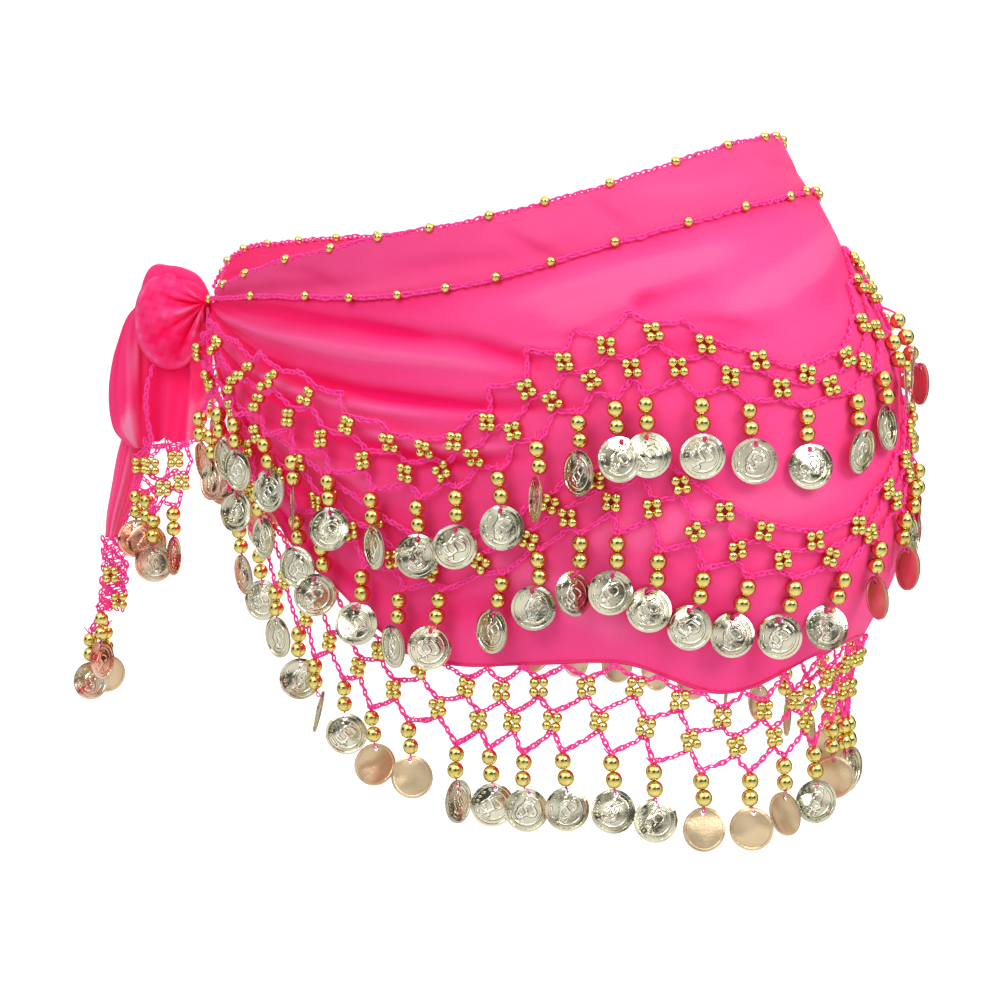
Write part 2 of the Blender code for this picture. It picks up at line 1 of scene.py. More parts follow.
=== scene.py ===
"""Belly dance hip scarf, worn and knotted: sheer chiffon with crochet nets of beads and coins.

Sizes are in millimetres and become metres when a mesh is made. A place on the scarf is a
turn in degrees, counted from the knot across the front and round the back, and a height; it
lies proud of the hips by so much. The cloth's depth value, from 0 to 1, says how deep its
colour is painted there: deeper where the cloth doubles, and with painted shade in hollows and
on sides turned from the light. Below 0 it says how pale it is painted, where the cloth lies
single and where a ridge carries a painted highlight.
The knot and the tails have their own directions: across, out sideways from the hips; along,
toward the front; and the height.
"""

import math

import bpy
import numpy as np
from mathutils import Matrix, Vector


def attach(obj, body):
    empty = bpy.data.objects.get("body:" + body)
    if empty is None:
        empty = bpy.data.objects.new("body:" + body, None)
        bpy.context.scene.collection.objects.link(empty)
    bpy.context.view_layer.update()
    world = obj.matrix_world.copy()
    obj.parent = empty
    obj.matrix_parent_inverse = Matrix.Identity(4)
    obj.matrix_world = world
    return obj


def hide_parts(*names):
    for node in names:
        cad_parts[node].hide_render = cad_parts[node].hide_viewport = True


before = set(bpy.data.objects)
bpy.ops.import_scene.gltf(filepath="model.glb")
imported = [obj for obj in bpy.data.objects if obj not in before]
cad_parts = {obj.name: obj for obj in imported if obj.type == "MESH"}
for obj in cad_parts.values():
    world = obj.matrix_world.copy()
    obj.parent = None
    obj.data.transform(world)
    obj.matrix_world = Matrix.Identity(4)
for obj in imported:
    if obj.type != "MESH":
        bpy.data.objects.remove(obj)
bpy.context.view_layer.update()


# ---------------------------------------------------------------- first turn of the chiffon
# The scarf is one long rectangle of sheer, plain-woven polyester chiffon. Its first turn round
# the waist shows as a smooth band, and its lower edge is drawn in under the second turn.

MM = 0.001
CLOTH = 0.5
SHEER_AND_HIGHLIGHT_PINK = (0.97, 0.26, 0.44)
HIP_RINGS = (
    # height, set-back away from the knot, half breadth and half depth of the hips
    (-262, 14, 144, 96.5), (-215, 14, 144, 96.5), (-173, 12.5, 146, 97.5), (-128, 19.5, 160, 107),
    (-84, 17.5, 165, 110.5), (-51, 14.5, 163, 109), (-32, 10.5, 157, 105), (-11, 6, 149, 99.5),
    (10, 1, 141, 94), (28, -3, 134, 90), (48, -7, 129, 86),
)
SET_BACK_ANGLE = math.radians(52)
KNOT_ANGLE = -139.4
TOP_EDGE = (
    # turn, height of the upper edge, how much of the first turn shows
    (3, -31, 3), (22, -26.5, 6), (39, -20, 12), (51, -16, 16), (65, -11, 21.5), (83, -5, 22),
    (106, 6, 19.5), (120, 13.5, 20), (134, 20, 20.5), (146, 24, 21), (165, 27, 20),
    (190, 23, 20), (215, 14, 20), (240, 6, 20), (270, -1, 19), (300, -5, 17), (330, -9, 12),
    (345, -13, 8), (352, -18, 5), (357, -25, 3),
)
WALL_START = 3.0
WALL_END = 357.0
BAND_FACE = 1.2
BAND_COLUMNS = 420
BAND_ROWS = 22
BAND_CREST = 0.9
BAND_TUCK = 13.0
BAND_DRAWN_IN = 4.4
FOLD_STEPS = 48
BAND_FOLDS = (
    # depth, half width above, half width below, then the line as turn and height
    (-1.0, 2.5, 3.5, (14, -30), (30, -29), (46, -27), (62, -25)),
    (0.9, 2.5, 3.0, (26, -31), (44, -31), (60, -30.5), (78, -25)),
    (-0.8, 2.0, 2.5, (42, -19), (51, -22), (58, -28)),
    (-0.7, 3.0, 3.0, (66, -21), (76, -19), (88, -17), (100, -12)),
    (-0.9, 2.0, 3.0, (88, -8), (93, -14), (98, -20)),
    (-0.6, 2.0, 2.6, (104, 7), (107, -1), (111, -8)),
    (0.7, 3.0, 4.0, (112, 6), (126, 8), (142, 13)),
    (-0.6, 2.5, 3.0, (150, 18), (168, 16), (190, 14)),
    (0.6, 3.0, 3.0, (200, 14), (224, 3), (250, -5)),
    (-0.9, 3.0, 3.0, (262, -9), (296, -14), (340, -21)),
    (0.8, 2.5, 3.0, (280, -12), (318, -17), (352, -26)),
)


def read(table, at):
    """A table between its rows, along a soft curve through them."""
    table = np.array(table, float)
    keys = table[:, 0]
    values = table[:, 1:]
    at = np.clip(np.asarray(at, float), keys[0], keys[-1])
    low = np.clip(np.searchsorted(keys, at, side="right") - 1, 0, len(keys) - 2)
    high = low + 1
    before = np.maximum(low - 1, 0)
    after = np.minimum(high + 1, len(keys) - 1)
    span = (keys[high] - keys[low])[..., None]
    slope_low = (values[high] - values[before]) / (keys[high] - keys[before])[..., None] * span
    slope_high = (values[after] - values[low]) / (keys[after] - keys[low])[..., None] * span
    t = (at[..., None] - keys[low][..., None]) / span
    return ((2 * t**3 - 3 * t**2 + 1) * values[low] + (t**3 - 2 * t**2 + t) * slope_low
            + (3 * t**2 - 2 * t**3) * values[high] + (t**3 - t**2) * slope_high)


def on_hips(turn, height, proud):
    """Points round the hips, and the level direction outward at each."""
    turn, height, proud = np.broadcast_arrays(turn, height, proud)
    rings = read(HIP_RINGS, height)
    angle = np.radians(KNOT_ANGLE + turn)
    out = np.stack((np.cos(angle) / rings[..., 1], np.sin(angle) / rings[..., 2], angle * 0), -1)
    out /= np.linalg.norm(out, axis=-1, keepdims=True)
    ring = np.stack((np.cos(angle) * rings[..., 1] + math.cos(SET_BACK_ANGLE) * rings[..., 0],
                     np.sin(angle) * rings[..., 2] + math.sin(SET_BACK_ANGLE) * rings[..., 0],
                     height), -1)
    return ring + out * proud[..., None], out


def round_length(turn):
    """Length round the fullest part of the hips from the knot to a turn."""
    steps = np.linspace(-30, 390, 841)
    points, _ = on_hips(steps, -70.0, 2.0)
    lengths = np.concatenate(((0,), np.cumsum(np.linalg.norm(np.diff(points, axis=0), axis=1))))
    return np.interp(turn, steps, lengths)


def fold_push(folds, turn, height):
    """How far folds push the cloth out, each fading softly to its two ends."""
    place = np.stack((round_length(turn), np.asarray(height, float)), -1)
    push = np.zeros(place.shape[:-1])
    for depth, above, below, *line in folds:
        keys = np.linspace(0, 1, len(line))
        share = np.linspace(0, 1, FOLD_STEPS)
        track = read(np.column_stack((keys, line)), share)
        track = np.stack((round_length(track[:, 0]), track[:, 1]), -1)
        nearest = ((place[..., None, :] - track) ** 2).sum(-1).argmin(-1)
        ahead = np.gradient(track, axis=0)
        step = np.linalg.norm(ahead, axis=-1, keepdims=True)
        ahead = (ahead / step)[nearest]
        step = step[nearest][..., 0]
        apart = place - track[nearest]
        past = np.clip((apart * ahead).sum(-1), -0.6 * step, 0.6 * step)
        apart = apart - ahead * past[..., None]
        width = np.where(apart[..., 1] > 0, above, below)
        distance = np.linalg.norm(apart, axis=-1)
        reached = share[nearest] + past / step / (FOLD_STEPS - 1)
        fade = np.sin(np.pi * np.clip(reached * 0.94 + 0.03, 0, 1)) ** 0.6
        push += depth * np.exp(-((distance / width) ** 2)) * fade
    return push


def placed(name, mesh):
    """A mesh as an object of the scene."""
    thing = bpy.data.objects.new(name, mesh)
    bpy.context.scene.collection.objects.link(thing)
    return thing


def cloth_piece(name, points, finish, depth_and_shading, closed=False):
    """A sheet from a grid of points that run down each column, with a UV map in metres.

    It carries the cloth's depth value: deeper where it doubles and in painted shade, paler where
    single.
    """
    columns, rows = points.shape[:2]
    numbers = np.arange(columns * rows).reshape(columns, rows)
    if closed:
        numbers = np.concatenate((numbers, numbers[:1]))
    corners = (numbers[:-1, :-1], numbers[:-1, 1:], numbers[1:, 1:], numbers[1:, :-1])
    mesh = bpy.data.meshes.new(name)
    faces = np.stack([corner.ravel() for corner in corners], -1)
    mesh.from_pydata((points.reshape(-1, 3) * MM).tolist(), [], faces.tolist())
    across = np.linalg.norm(np.diff(points, axis=0), axis=-1).mean(1)
    across = np.concatenate(((0,), np.cumsum(across)))[:, None] + np.zeros((columns, rows))
    down = np.linalg.norm(np.diff(points, axis=1), axis=-1)
    down = np.concatenate((np.zeros((columns, 1)), np.cumsum(down, axis=1)), 1)
    spots = np.stack((across, down), -1).reshape(-1, 2) * MM
    layer = mesh.uv_layers.new(name="cloth")
    layer.data.foreach_set("uv", spots[faces.ravel()].astype(np.float32).ravel())
    depth = mesh.attributes.new("depth_and_shading", "FLOAT", "POINT")
    depth_and_shading = np.broadcast_to(depth_and_shading, (columns, rows))
    depth.data.foreach_set("value", depth_and_shading.astype(np.float32).ravel())
    mesh.materials.append(finish.material)
    mesh.shade_smooth()
    piece = placed(name, mesh)
    wall = piece.modifiers.new("thickness", "SOLIDIFY")
    wall.thickness = CLOTH * MM
    wall.offset = -1
    return piece


def mount(piece, node):
    """Every piece rides on the one body, and may stand for a solid of its own."""
    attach(piece, "root")
    if node:
        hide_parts(node)
    return piece


class Wire:
    """A socket that can be written into sums."""

    def __init__(self, nodes, socket):
        self.nodes = nodes
        self.socket = socket

    def maths(self, operation, first, second):
        return self.nodes.add("ShaderNodeMath", {"operation": operation}, {0: first, 1: second})

    def __add__(self, other):
        return self.maths("ADD", self, other)

    __radd__ = __add__

    def __sub__(self, other):
        return self.maths("SUBTRACT", self, other)

    def __rsub__(self, other):
        return self.maths("SUBTRACT", other, self)

    def __mul__(self, other):
        return self.maths("MULTIPLY", self, other)

    __rmul__ = __mul__

    def apply(self, operation, other=0.0):
        return self.maths(operation, self, other)

    def ramp(self, start, end):
        """Nought before the start, one past the end, and soft between."""
        settings = {"interpolation_type": "SMOOTHSTEP"}
        return self.nodes.add("ShaderNodeMapRange", settings, {0: self, 1: start, 2: end})


class Nodes:
    """A tree of nodes, for a finish or for growing a mesh."""

    def __init__(self, tree):
        self.tree = tree

    def add(self, kind, settings=None, sockets=None, take=0):
        """A node with its settings, then its sockets; it gives one of its outputs."""
        node = self.tree.nodes.new(kind)
        for key, value in (settings or {}).items():
            setattr(node, key, value)
        for key, value in (sockets or {}).items():
            if isinstance(value, Wire):
                self.tree.links.new(value.socket, node.inputs[key])
            else:
                node.inputs[key].default_value = value
        return Wire(self, node.outputs[take]) if node.outputs else None

    def parts(self, vector):
        """The three numbers of a vector."""
        apart = self.add("ShaderNodeSeparateXYZ", None, {0: vector}).socket.node
        return [Wire(self, number) for number in apart.outputs]

    def mix(self, share, first, second):
        """One colour turning into another."""
        colours = [(*c, 1) if isinstance(c, tuple) else c for c in (first, second)]
        settings = {"data_type": "RGBA"}
        return self.add("ShaderNodeMix", settings, {0: share, 6: colours[0], 7: colours[1]}, 2)

    def noise(self, place, scale, detail=3.0, rough=0.5):
        sockets = {"Vector": place, "Scale": scale, "Detail": detail, "Roughness": rough}
        return self.add("ShaderNodeTexNoise", None, sockets)


class Finish(Nodes):
    """A material of one coat, whose even values are set straight on the shader."""

    def __init__(self, name, **even):
        self.material = bpy.data.materials.new(name)
        self.material.use_nodes = True
        super().__init__(self.material.node_tree)
        self.shader = self.tree.nodes["Principled BSDF"]
        for key, value in even.items():
            self.shader.inputs[key.replace("_", " ")].default_value = value

    def feed(self, **wires):
        for key, wire in wires.items():
            self.tree.links.new(wire.socket, self.shader.inputs[key.replace("_", " ")])

    def bump(self, height, distance, strength=1.0):
        """A bump of so many millimetres."""
        sockets = {"Height": height, "Distance": distance * MM, "Strength": strength}
        self.feed(Normal=self.add("ShaderNodeBump", None, sockets))


def chiffon(name, light, deep):
    """Sheer plain weave with a crepe grain: deeper where doubled and in painted shade, paler where
    single and in painted highlights.
    """
    finish = Finish(name, Sheen_Weight=0.12, Sheen_Roughness=0.4, Sheen_Tint=(1, 0.2, 0.4, 1),
                    Specular_IOR_Level=0.12)
    place = finish.add("ShaderNodeUVMap", {"uv_map": "cloth"})
    depth_and_shading = finish.add("ShaderNodeAttribute", {"attribute_name": "depth_and_shading"}, None, "Fac")
    crepe = finish.noise(place, 1500.0, 2.0)
    cloud = finish.noise(place, 28.0, 2.0)
    slub = finish.add("ShaderNodeMapping", None, {"Vector": place, "Scale": (60, 1400, 1)})
    slub = finish.noise(slub, 1.0, 2.0)
    threads = {"Vector": place, "Scale": 720.0}
    warp = finish.add("ShaderNodeTexWave", None, threads)
    weft = finish.add("ShaderNodeTexWave", {"bands_direction": "Y"}, threads)
    weave = (warp + weft) * 0.35 + crepe * 0.5
    # the depth value brings painted shade and highlight; random mottle and grain go on top
    depth = depth_and_shading + (cloud - 0.5) * 0.5 + (crepe - 0.5) * 0.18 + (slub - 0.5) * 0.12
    tint = finish.mix(depth.apply("MAXIMUM").apply("MINIMUM", 1.0), light, deep)
    # below nought it turns to a pale pink, for sheer single cloth and for painted highlights on ridges
    single = (depth_and_shading * -1.4).apply("MAXIMUM").apply("MINIMUM", 1.0)
    tint = finish.mix(single, tint, SHEER_AND_HIGHLIGHT_PINK)
    finish.feed(Base_Color=tint, Roughness=0.46 + weave * 0.14)
    finish.bump(weave, 0.06, 0.5)
    return finish


BAND_CHIFFON = chiffon("band_chiffon", (0.97, 0.092, 0.290), (0.82, 0.025, 0.175))

columns = np.linspace(WALL_START, WALL_END, BAND_COLUMNS + 1)[:, None]
band_edges = read(TOP_EDGE, columns[:, 0])
top = band_edges[:, :1]
under_second = top - band_edges[:, 1:]
shares = np.linspace(0, 1, BAND_ROWS + 1)[None, :]
tucked_foot = under_second - BAND_TUCK
crest = top + BAND_CREST
heights = crest + (tucked_foot - crest) * shares
hidden = np.clip((under_second - heights) / BAND_TUCK, 0, 1)
band_push = fold_push(BAND_FOLDS, columns + heights * 0, heights)
band_push *= np.clip((top - heights) / 3, 0, 1)
band_proud = BAND_FACE + band_push - BAND_DRAWN_IN * hidden ** 0.6
band_points, _ = on_hips(columns, heights, band_proud)

# Painted shade: the colour is deepest in hollows, beside the knot, where the cloth turns from
# the light, and under and along the second turn's edge.
near_knot = np.clip(1 - np.minimum(columns, 360 - columns) / 75, 0, 1)
band_depth = 0.30 - 0.35 * band_push + 0.35 * near_knot + 0.5 * np.clip(hidden * 3, 0, 1)
band_depth += 0.35 * np.exp(-((heights - under_second) / 2.2) ** 2)
first_turn = cloth_piece("first_turn_cloth", band_points, BAND_CHIFFON, band_depth)
mount(first_turn, "inner_stretch")


# ---------------------------------------------------------------- second turn of the chiffon
# The main turn, from the second trim line to a scalloped hem with a fine rolled edge. It is
# pulled tight over the hips, and long folds run out from the knot.

WRAP_FACE = 2.7
WRAP_COLUMNS = 470
WRAP_ROWS = 88
HEM_ROLL = 0.62
HEM_ROLL_SIDES = 6
HEM_ROLL_STEPS = 620
HEM_ROLL_RISE = 0.3
HEM_ROLL_IN = 0.15
PALEST = -0.14
HEM_LINE = (
    # turn, height of the hem
    (4, -40), (14, -52), (27.5, -86), (41, -124), (53, -141), (60, -152), (67, -160), (76, -164.5),
    (88.5, -162.5), (104.5, -161), (121, -171.5), (130, -170.5), (143.5, -160.5), (159, -157),
    (184, -160), (218, -149), (252, -141), (279, -137), (298, -127), (318, -106), (338, -76),
    (355, -40),
)
WRAP_FOLDS = (
    # depth, half width above, half width below, then the line as turn and height
    (-2, 2.5, 3.4, (2, -32), (24, -34), (38, -35), (52, -39), (62, -41.6), (72, -44.6)),
    (-1.5, 2.3, 3.6, (60, -40), (71, -44.4), (79, -46.3), (87, -50.4), (94, -54)),
    (1.7, 3.1, 3.1, (8, -35), (26, -39), (42, -45), (56, -50), (70, -53), (84, -56)),
    (-2.2, 3.4, 2.0, (8, -36), (20, -42), (33, -53), (46, -61), (57, -65), (68, -68), (80, -70)),
    (-1.6, 3.1, 1.9, (60, -66), (70, -68.5), (80, -70), (90, -69.5), (97, -70)),
    (1.9, 1.7, 2.7, (12, -39), (24, -48), (38, -60), (50, -67), (62, -71), (74, -73.5)),
    (-1.7, 2.0, 2.7, (12, -42), (26, -56), (40, -68), (52, -75), (62, -80)),
    (1.4, 2.3, 2.0, (48, -73), (58, -78), (68, -83), (78, -85), (86, -84)),
    (-1.8, 2.0, 2.8, (48, -78), (58, -83.5), (68, -88), (78, -89.5), (88, -86)),
    (1.3, 3.5, 4.5, (16, -50), (28, -66), (42, -84), (56, -96), (70, -102)),
    (-1.5, 3.0, 4.0, (14, -52), (26, -72), (38, -92), (50, -108), (62, -118)),
    (1.2, 4.0, 5.0, (22, -76), (34, -98), (46, -116), (58, -128)),
    (-1.2, 4.0, 4.0, (30, -98), (42, -118), (54, -134), (64, -142)),
    (-1.3, 1.3, 2.4, (88, -46), (93.7, -44.5), (98.3, -42), (104.5, -36.8)),
    (-1.1, 1.3, 2.2, (105.7, -36), (107.8, -32), (110.5, -29.5)),
    (-1.0, 1.5, 2.6, (113, -39), (119, -39), (126, -41)),
    (-1.0, 2.0, 3.0, (80, -49), (83.9, -50.9), (87.5, -53), (91, -57)),
    (0.8, 2.6, 4.0, (92, -38), (100, -34), (106, -30)),
    (0.9, 2.0, 3.0, (84, -49), (91, -46), (98, -42), (106, -38)),
    (-0.9, 2.2, 2.6, (106, -35), (110, -32), (115, -28.5), (122, -25)),
    (0.9, 5.0, 6.0, (86, -34), (100, -27), (114, -20), (130, -12)),
    (-1.0, 4.0, 5.0, (96, -56), (108, -50), (120, -44), (132, -38)),
    (1.0, 6.0, 7.0, (120, -36), (136, -26), (152, -16), (168, -8)),
    (-0.9, 5.0, 6.0, (136, -34), (150, -26), (164, -16), (182, -8)),
    (-1.1, 5.0, 7.0, (140, -86), (156, -76), (172, -66), (190, -58)),
    (0.9, 6.0, 7.0, (92, -116), (106, -112), (122, -104), (140, -98)),
    (-0.8, 5.0, 7.0, (100, -134), (112, -138), (124, -148), (132, -158)),
    (0.8, 6.0, 8.0, (74, -122), (86, -130), (98, -142), (106, -152)),
    (-0.9, 4.0, 6.0, (66, -150), (78, -142), (92, -138)),
    (1.2, 7.0, 9.0, (190, -32), (212, -26), (236, -20), (262, -16)),
    (-1.4, 6.0, 9.0, (206, -72), (232, -64), (258, -58), (292, -52)),
    (1.0, 7.0, 8.0, (196, -104), (222, -98), (250, -90), (276, -84)),
    (-1.0, 6.0, 8.0, (180, -132), (202, -128), (226, -118), (246, -112)),
    (1.9, 4.5, 6.0, (268, -34), (294, -32), (320, -32), (350, -34)),
    (-2.0, 4.5, 5.5, (272, -62), (296, -58), (322, -50), (349, -40)),
    (1.8, 5.0, 6.0, (280, -90), (302, -80), (326, -64), (347, -46)),
    (-1.5, 4.0, 5.0, (292, -112), (312, -98), (330, -78), (346, -54)),
    (-1.5, 2.4, 3.4, (176, -30), (196, -38), (214, -41), (232, -40)),
    (1.2, 3.0, 4.0, (180, -44), (204, -52), (226, -54), (248, -50)),
    (-1.3, 2.2, 3.2, (216, -86), (236, -80), (256, -76)),
    (-1.2, 2.6, 3.6, (150, -114), (168, -108), (186, -106)),
    (1.1, 3.0, 4.0, (230, -46), (256, -38), (282, -36)),
    (-1.4, 2.4, 3.4, (236, -50), (262, -47), (290, -45), (316, -40)),
    (-1.2, 2.4, 3.0, (214, -118), (232, -112), (254, -110)),
)

WRAP_CHIFFON = chiffon("wrap_chiffon", (1.0, 0.074, 0.285), (1.0, 0.003, 0.140))


def wrap_top(turn):
    """Height of the second turn's upper edge."""
    edge = read(TOP_EDGE, turn)
    return edge[..., 0] - edge[..., 1]


def hem_height(turn):
    return read(HEM_LINE, turn)[..., 0]


def wrap_pulls(turn, height):
    """Fine pulls that run with the cloth drawn into the knot, and fade away from it."""
    share = (wrap_top(turn) - height) / (wrap_top(turn) - hem_height(turn))
    drift = 0.5 * np.sin(turn / 9.0)
    waves = (np.sin(2 * np.pi * 7.3 * share + 0.6 + drift)
             + 0.8 * np.sin(2 * np.pi * 12.1 * share + 2.4 - drift)
             + 0.6 * np.sin(2 * np.pi * 19.7 * share + 4.0 + 2 * drift))
    away = np.minimum(turn, 360 - turn)
    return waves * np.exp(-((away / 42) ** 2)) * np.clip(share * 8, 0, 1)


def wrap_push(turn, height):
    """Folds of the second turn, with none at its trimmed upper edge."""
    below = np.clip((wrap_top(turn) - height) / 4, 0, 1)
    folds = 1.25 * fold_push(WRAP_FOLDS, turn, height)
    return (folds + 0.42 * wrap_pulls(turn, height)) * below


columns = np.linspace(WALL_START, WALL_END, WRAP_COLUMNS + 1)[:, None]
top = wrap_top(columns)
shares = np.linspace(0, 1, WRAP_ROWS + 1)[None, :]
heights = top + (hem_height(columns) - top) * shares
turns = columns + heights * 0
push = wrap_push(turns, heights)

# A slight sway keeps the smooth stretches from looking pressed.
sway = 0.35 * np.sin(turns / 3.1 + heights / 17) * np.sin(heights / 11 - turns / 7.3)
wrap_points, _ = on_hips(turns, heights, WRAP_FACE + push + sway)

# Painted shade and highlight: the cloth is deepest in its hollows and beside the knot, where it
# turns from the light, and paler on the ridges of its pulls. Along both edges, where it doubles,
# its own colour is deeper.
near_knot = np.clip(1 - np.minimum(turns, 360 - turns) / 88, 0, 1)
depth_and_shading = 0.08 - 0.33 * push + 0.84 * near_knot ** 1.05 - 0.16 * wrap_pulls(turns, heights)
depth_and_shading += 0.30 * np.exp(-((top - heights) / 5) ** 2)
depth_and_shading += 0.55 * np.exp(-((heights - hem_height(columns)) / 1.1) ** 2)
depth_and_shading = np.maximum(depth_and_shading, PALEST)
second_turn = cloth_piece("second_turn_cloth", wrap_points, WRAP_CHIFFON, depth_and_shading)
mount(second_turn, "outer_stretch")


def tube(name, path, radius, sides, finish):
    """A round cord along a path of points, closed at its ends."""
    ahead = np.gradient(path, axis=0)
    ahead /= np.linalg.norm(ahead, axis=1, keepdims=True)
    side = np.cross(ahead, np.cross(ahead, (0.31, 0.17, 0.93)))
    side /= np.linalg.norm(side, axis=1, keepdims=True)
    lift = np.cross(ahead, side)
    turn = np.arange(sides) * 2 * math.pi / sides
    ring = path[:, None] + radius * (side[:, None] * np.cos(turn)[None, :, None]
                                     + lift[:, None] * np.sin(turn)[None, :, None])
    faces = []
    for low in range(0, (len(path) - 1) * sides, sides):
        for j in range(sides):
            k = (j + 1) % sides
            faces.append((low + j, low + k, low + sides + k, low + sides + j))
    faces.append(tuple(reversed(range(sides))))
    faces.append(tuple(range((len(path) - 1) * sides, len(path) * sides)))
    mesh = bpy.data.meshes.new(name)
    mesh.from_pydata((ring.reshape(-1, 3) * MM).tolist(), [], faces)
    mesh.materials.append(finish.material)
    mesh.shade_smooth()
    return placed(name, mesh)


HEM_THREAD = Finish("rolled_hem", Sheen_Weight=0.3)
place = HEM_THREAD.add("ShaderNodeTexCoord", None, None, "Object")
twist = HEM_THREAD.noise(place, 1800.0, 2.0)
HEM_THREAD.feed(Base_Color=HEM_THREAD.mix(twist, (0.72, 0.004, 0.12), (0.90, 0.02, 0.20)),
                Roughness=0.5 + twist * 0.2)
HEM_THREAD.bump(twist, 0.12)

hem_turns = np.linspace(WALL_START, WALL_END, HEM_ROLL_STEPS)
hem_path, _ = on_hips(hem_turns, hem_height(hem_turns) + HEM_ROLL_RISE, WRAP_FACE - HEM_ROLL_IN)
hem_roll = tube("rolled_hem_edge", hem_path, HEM_ROLL, HEM_ROLL_SIDES, HEM_THREAD)
mount(hem_roll, None)


# ---------------------------------------------------------------- crochet edgings
# A crocheted chain of magenta yarn along each turn's upper edge, sewn to the chiffon, with a
# small gilt bead caught in it every couple of centimetres.

STITCH = 2.1
STITCH_WIDE = 2.2
YARN = 0.80
LOOP_TILT = 0.5
SMALL_BEAD = 3.7
EDGING_RISE = 1.2
EDGING_STEPS = 380
EDGING_PITCH = 18.0
TOP_EDGING_FACE = 0.8
OUTER_EDGING_FACE = 3.6
TOP_BEAD_TURNS = (19, 30.7, 44.3, 55.5, 65.8, 75.6, 86.4, 96.6, 109.1, 123.9, 138.9, 154.7)
OUTER_BEAD_TURNS = (12, 36, 51.1, 60.4, 69.4, 77.7, 86.1, 95.3, 106.5, 120.7, 134.3, 149.1)
YARN_LIGHT = (1.0, 0.085, 0.43)
YARN_DEEP = (0.94, 0.022, 0.24)
GILT_BRIGHT = (0.84, 0.70, 0.23)
GILT_DULL = (0.70, 0.55, 0.15)

# Soft mercerised yarn with a painted pink glow that brightens it all over: fine fibres, a twist,
# and slight unevenness.
GLOWING_YARN = Finish("magenta_yarn", Sheen_Weight=0.3, Sheen_Roughness=0.5,
                     Sheen_Tint=(1, 0.2, 0.5, 1), Specular_IOR_Level=0.35,
                     Emission_Color=(1, 0.05, 0.36, 1), Emission_Strength=0.13)
place = GLOWING_YARN.add("ShaderNodeTexCoord", None, None, "Object")
fibre = GLOWING_YARN.noise(place, 5200.0, 3.0, 0.6)
dye = GLOWING_YARN.noise(place, 260.0, 2.0)
share = (fibre * 0.55 + dye * 0.6 - 0.1).apply("MAXIMUM").apply("MINIMUM", 1.0)
GLOWING_YARN.feed(Base_Color=GLOWING_YARN.mix(share, YARN_DEEP, YARN_LIGHT),
                 Roughness=0.5 + fibre * 0.3)
GLOWING_YARN.bump(fibre, 0.16, 0.8)

# Electroplated gilding, a little cloudy and worn.
BEAD_GILT = Finish("bead_gilt", Metallic=1.0, Specular_Tint=(0.62, 0.46, 0.10, 1))
place = BEAD_GILT.add("ShaderNodeTexCoord", None, None, "Object")
cloud = BEAD_GILT.noise(place, 420.0, 3.0)
wear = BEAD_GILT.noise(place, 2600.0, 2.0)
BEAD_GILT.feed(Base_Color=BEAD_GILT.mix(cloud.ramp(0.35, 0.75), GILT_BRIGHT, GILT_DULL),
               Roughness=0.08 + cloud * 0.12 + wear * 0.06)
BEAD_GILT.bump(wear + cloud, 0.05, 0.5)


class Growth(Nodes):
    """A tree of geometry nodes with named sizes, which grows a mesh on points or paths."""

    def __init__(self, name, sizes):
        super().__init__(bpy.data.node_groups.new(name, "GeometryNodeTree"))
        self.keys = {}
        sockets = self.tree.interface
        sockets.new_socket("Geometry", in_out="INPUT", socket_type="NodeSocketGeometry")
        sockets.new_socket("Geometry", in_out="OUTPUT", socket_type="NodeSocketGeometry")
        for key in sizes:
            kind = {"Seed": "NodeSocketInt", "Finish": "NodeSocketMaterial",
                    "Shape": "NodeSocketObject"}.get(key, "NodeSocketFloat")
            self.keys[key] = sockets.new_socket(key, in_out="INPUT", socket_type=kind).identifier
        self.inside = self.add("NodeGroupInput").socket.node

    def given(self, key):
        return Wire(self, self.inside.outputs[key])

    def finish_with(self, mesh):
        """Real geometry with its finish, as the tree's last two steps."""
        real = self.add("GeometryNodeRealizeInstances", None, {0: mesh})
        coated = self.add("GeometryNodeSetMaterial", None, {0: real, "Material": self.given("Finish")})
        self.add("NodeGroupOutput", None, {0: coated})

    def grow(self, name, points, edges, values, finish, **sizes):
        """The plain mesh that the tree makes here."""
        seedbed = bpy.data.meshes.new(name + "_places")
        seedbed.from_pydata((np.asarray(points) * MM).tolist(), edges, [])
        for key, value in values.items():
            value = np.asarray(value, np.float32)
            kind = "FLOAT_VECTOR" if value.ndim == 2 else "FLOAT"
            layer = seedbed.attributes.new(key, kind, "POINT")
            layer.data.foreach_set("vector" if value.ndim == 2 else "value", value.ravel())
        holder = placed(name + "_places", seedbed)
        growing = holder.modifiers.new("growing", "NODES")
        growing.node_group = self.tree
        for key, value in {**sizes, "Finish": finish.material}.items():
            growing[self.keys[key]] = value
        bpy.context.view_layer.update()
        grown = bpy.data.meshes.new_from_object(
            holder.evaluated_get(bpy.context.evaluated_depsgraph_get()))
        bpy.data.objects.remove(holder)
        grown.name = name
        return placed(name, grown)


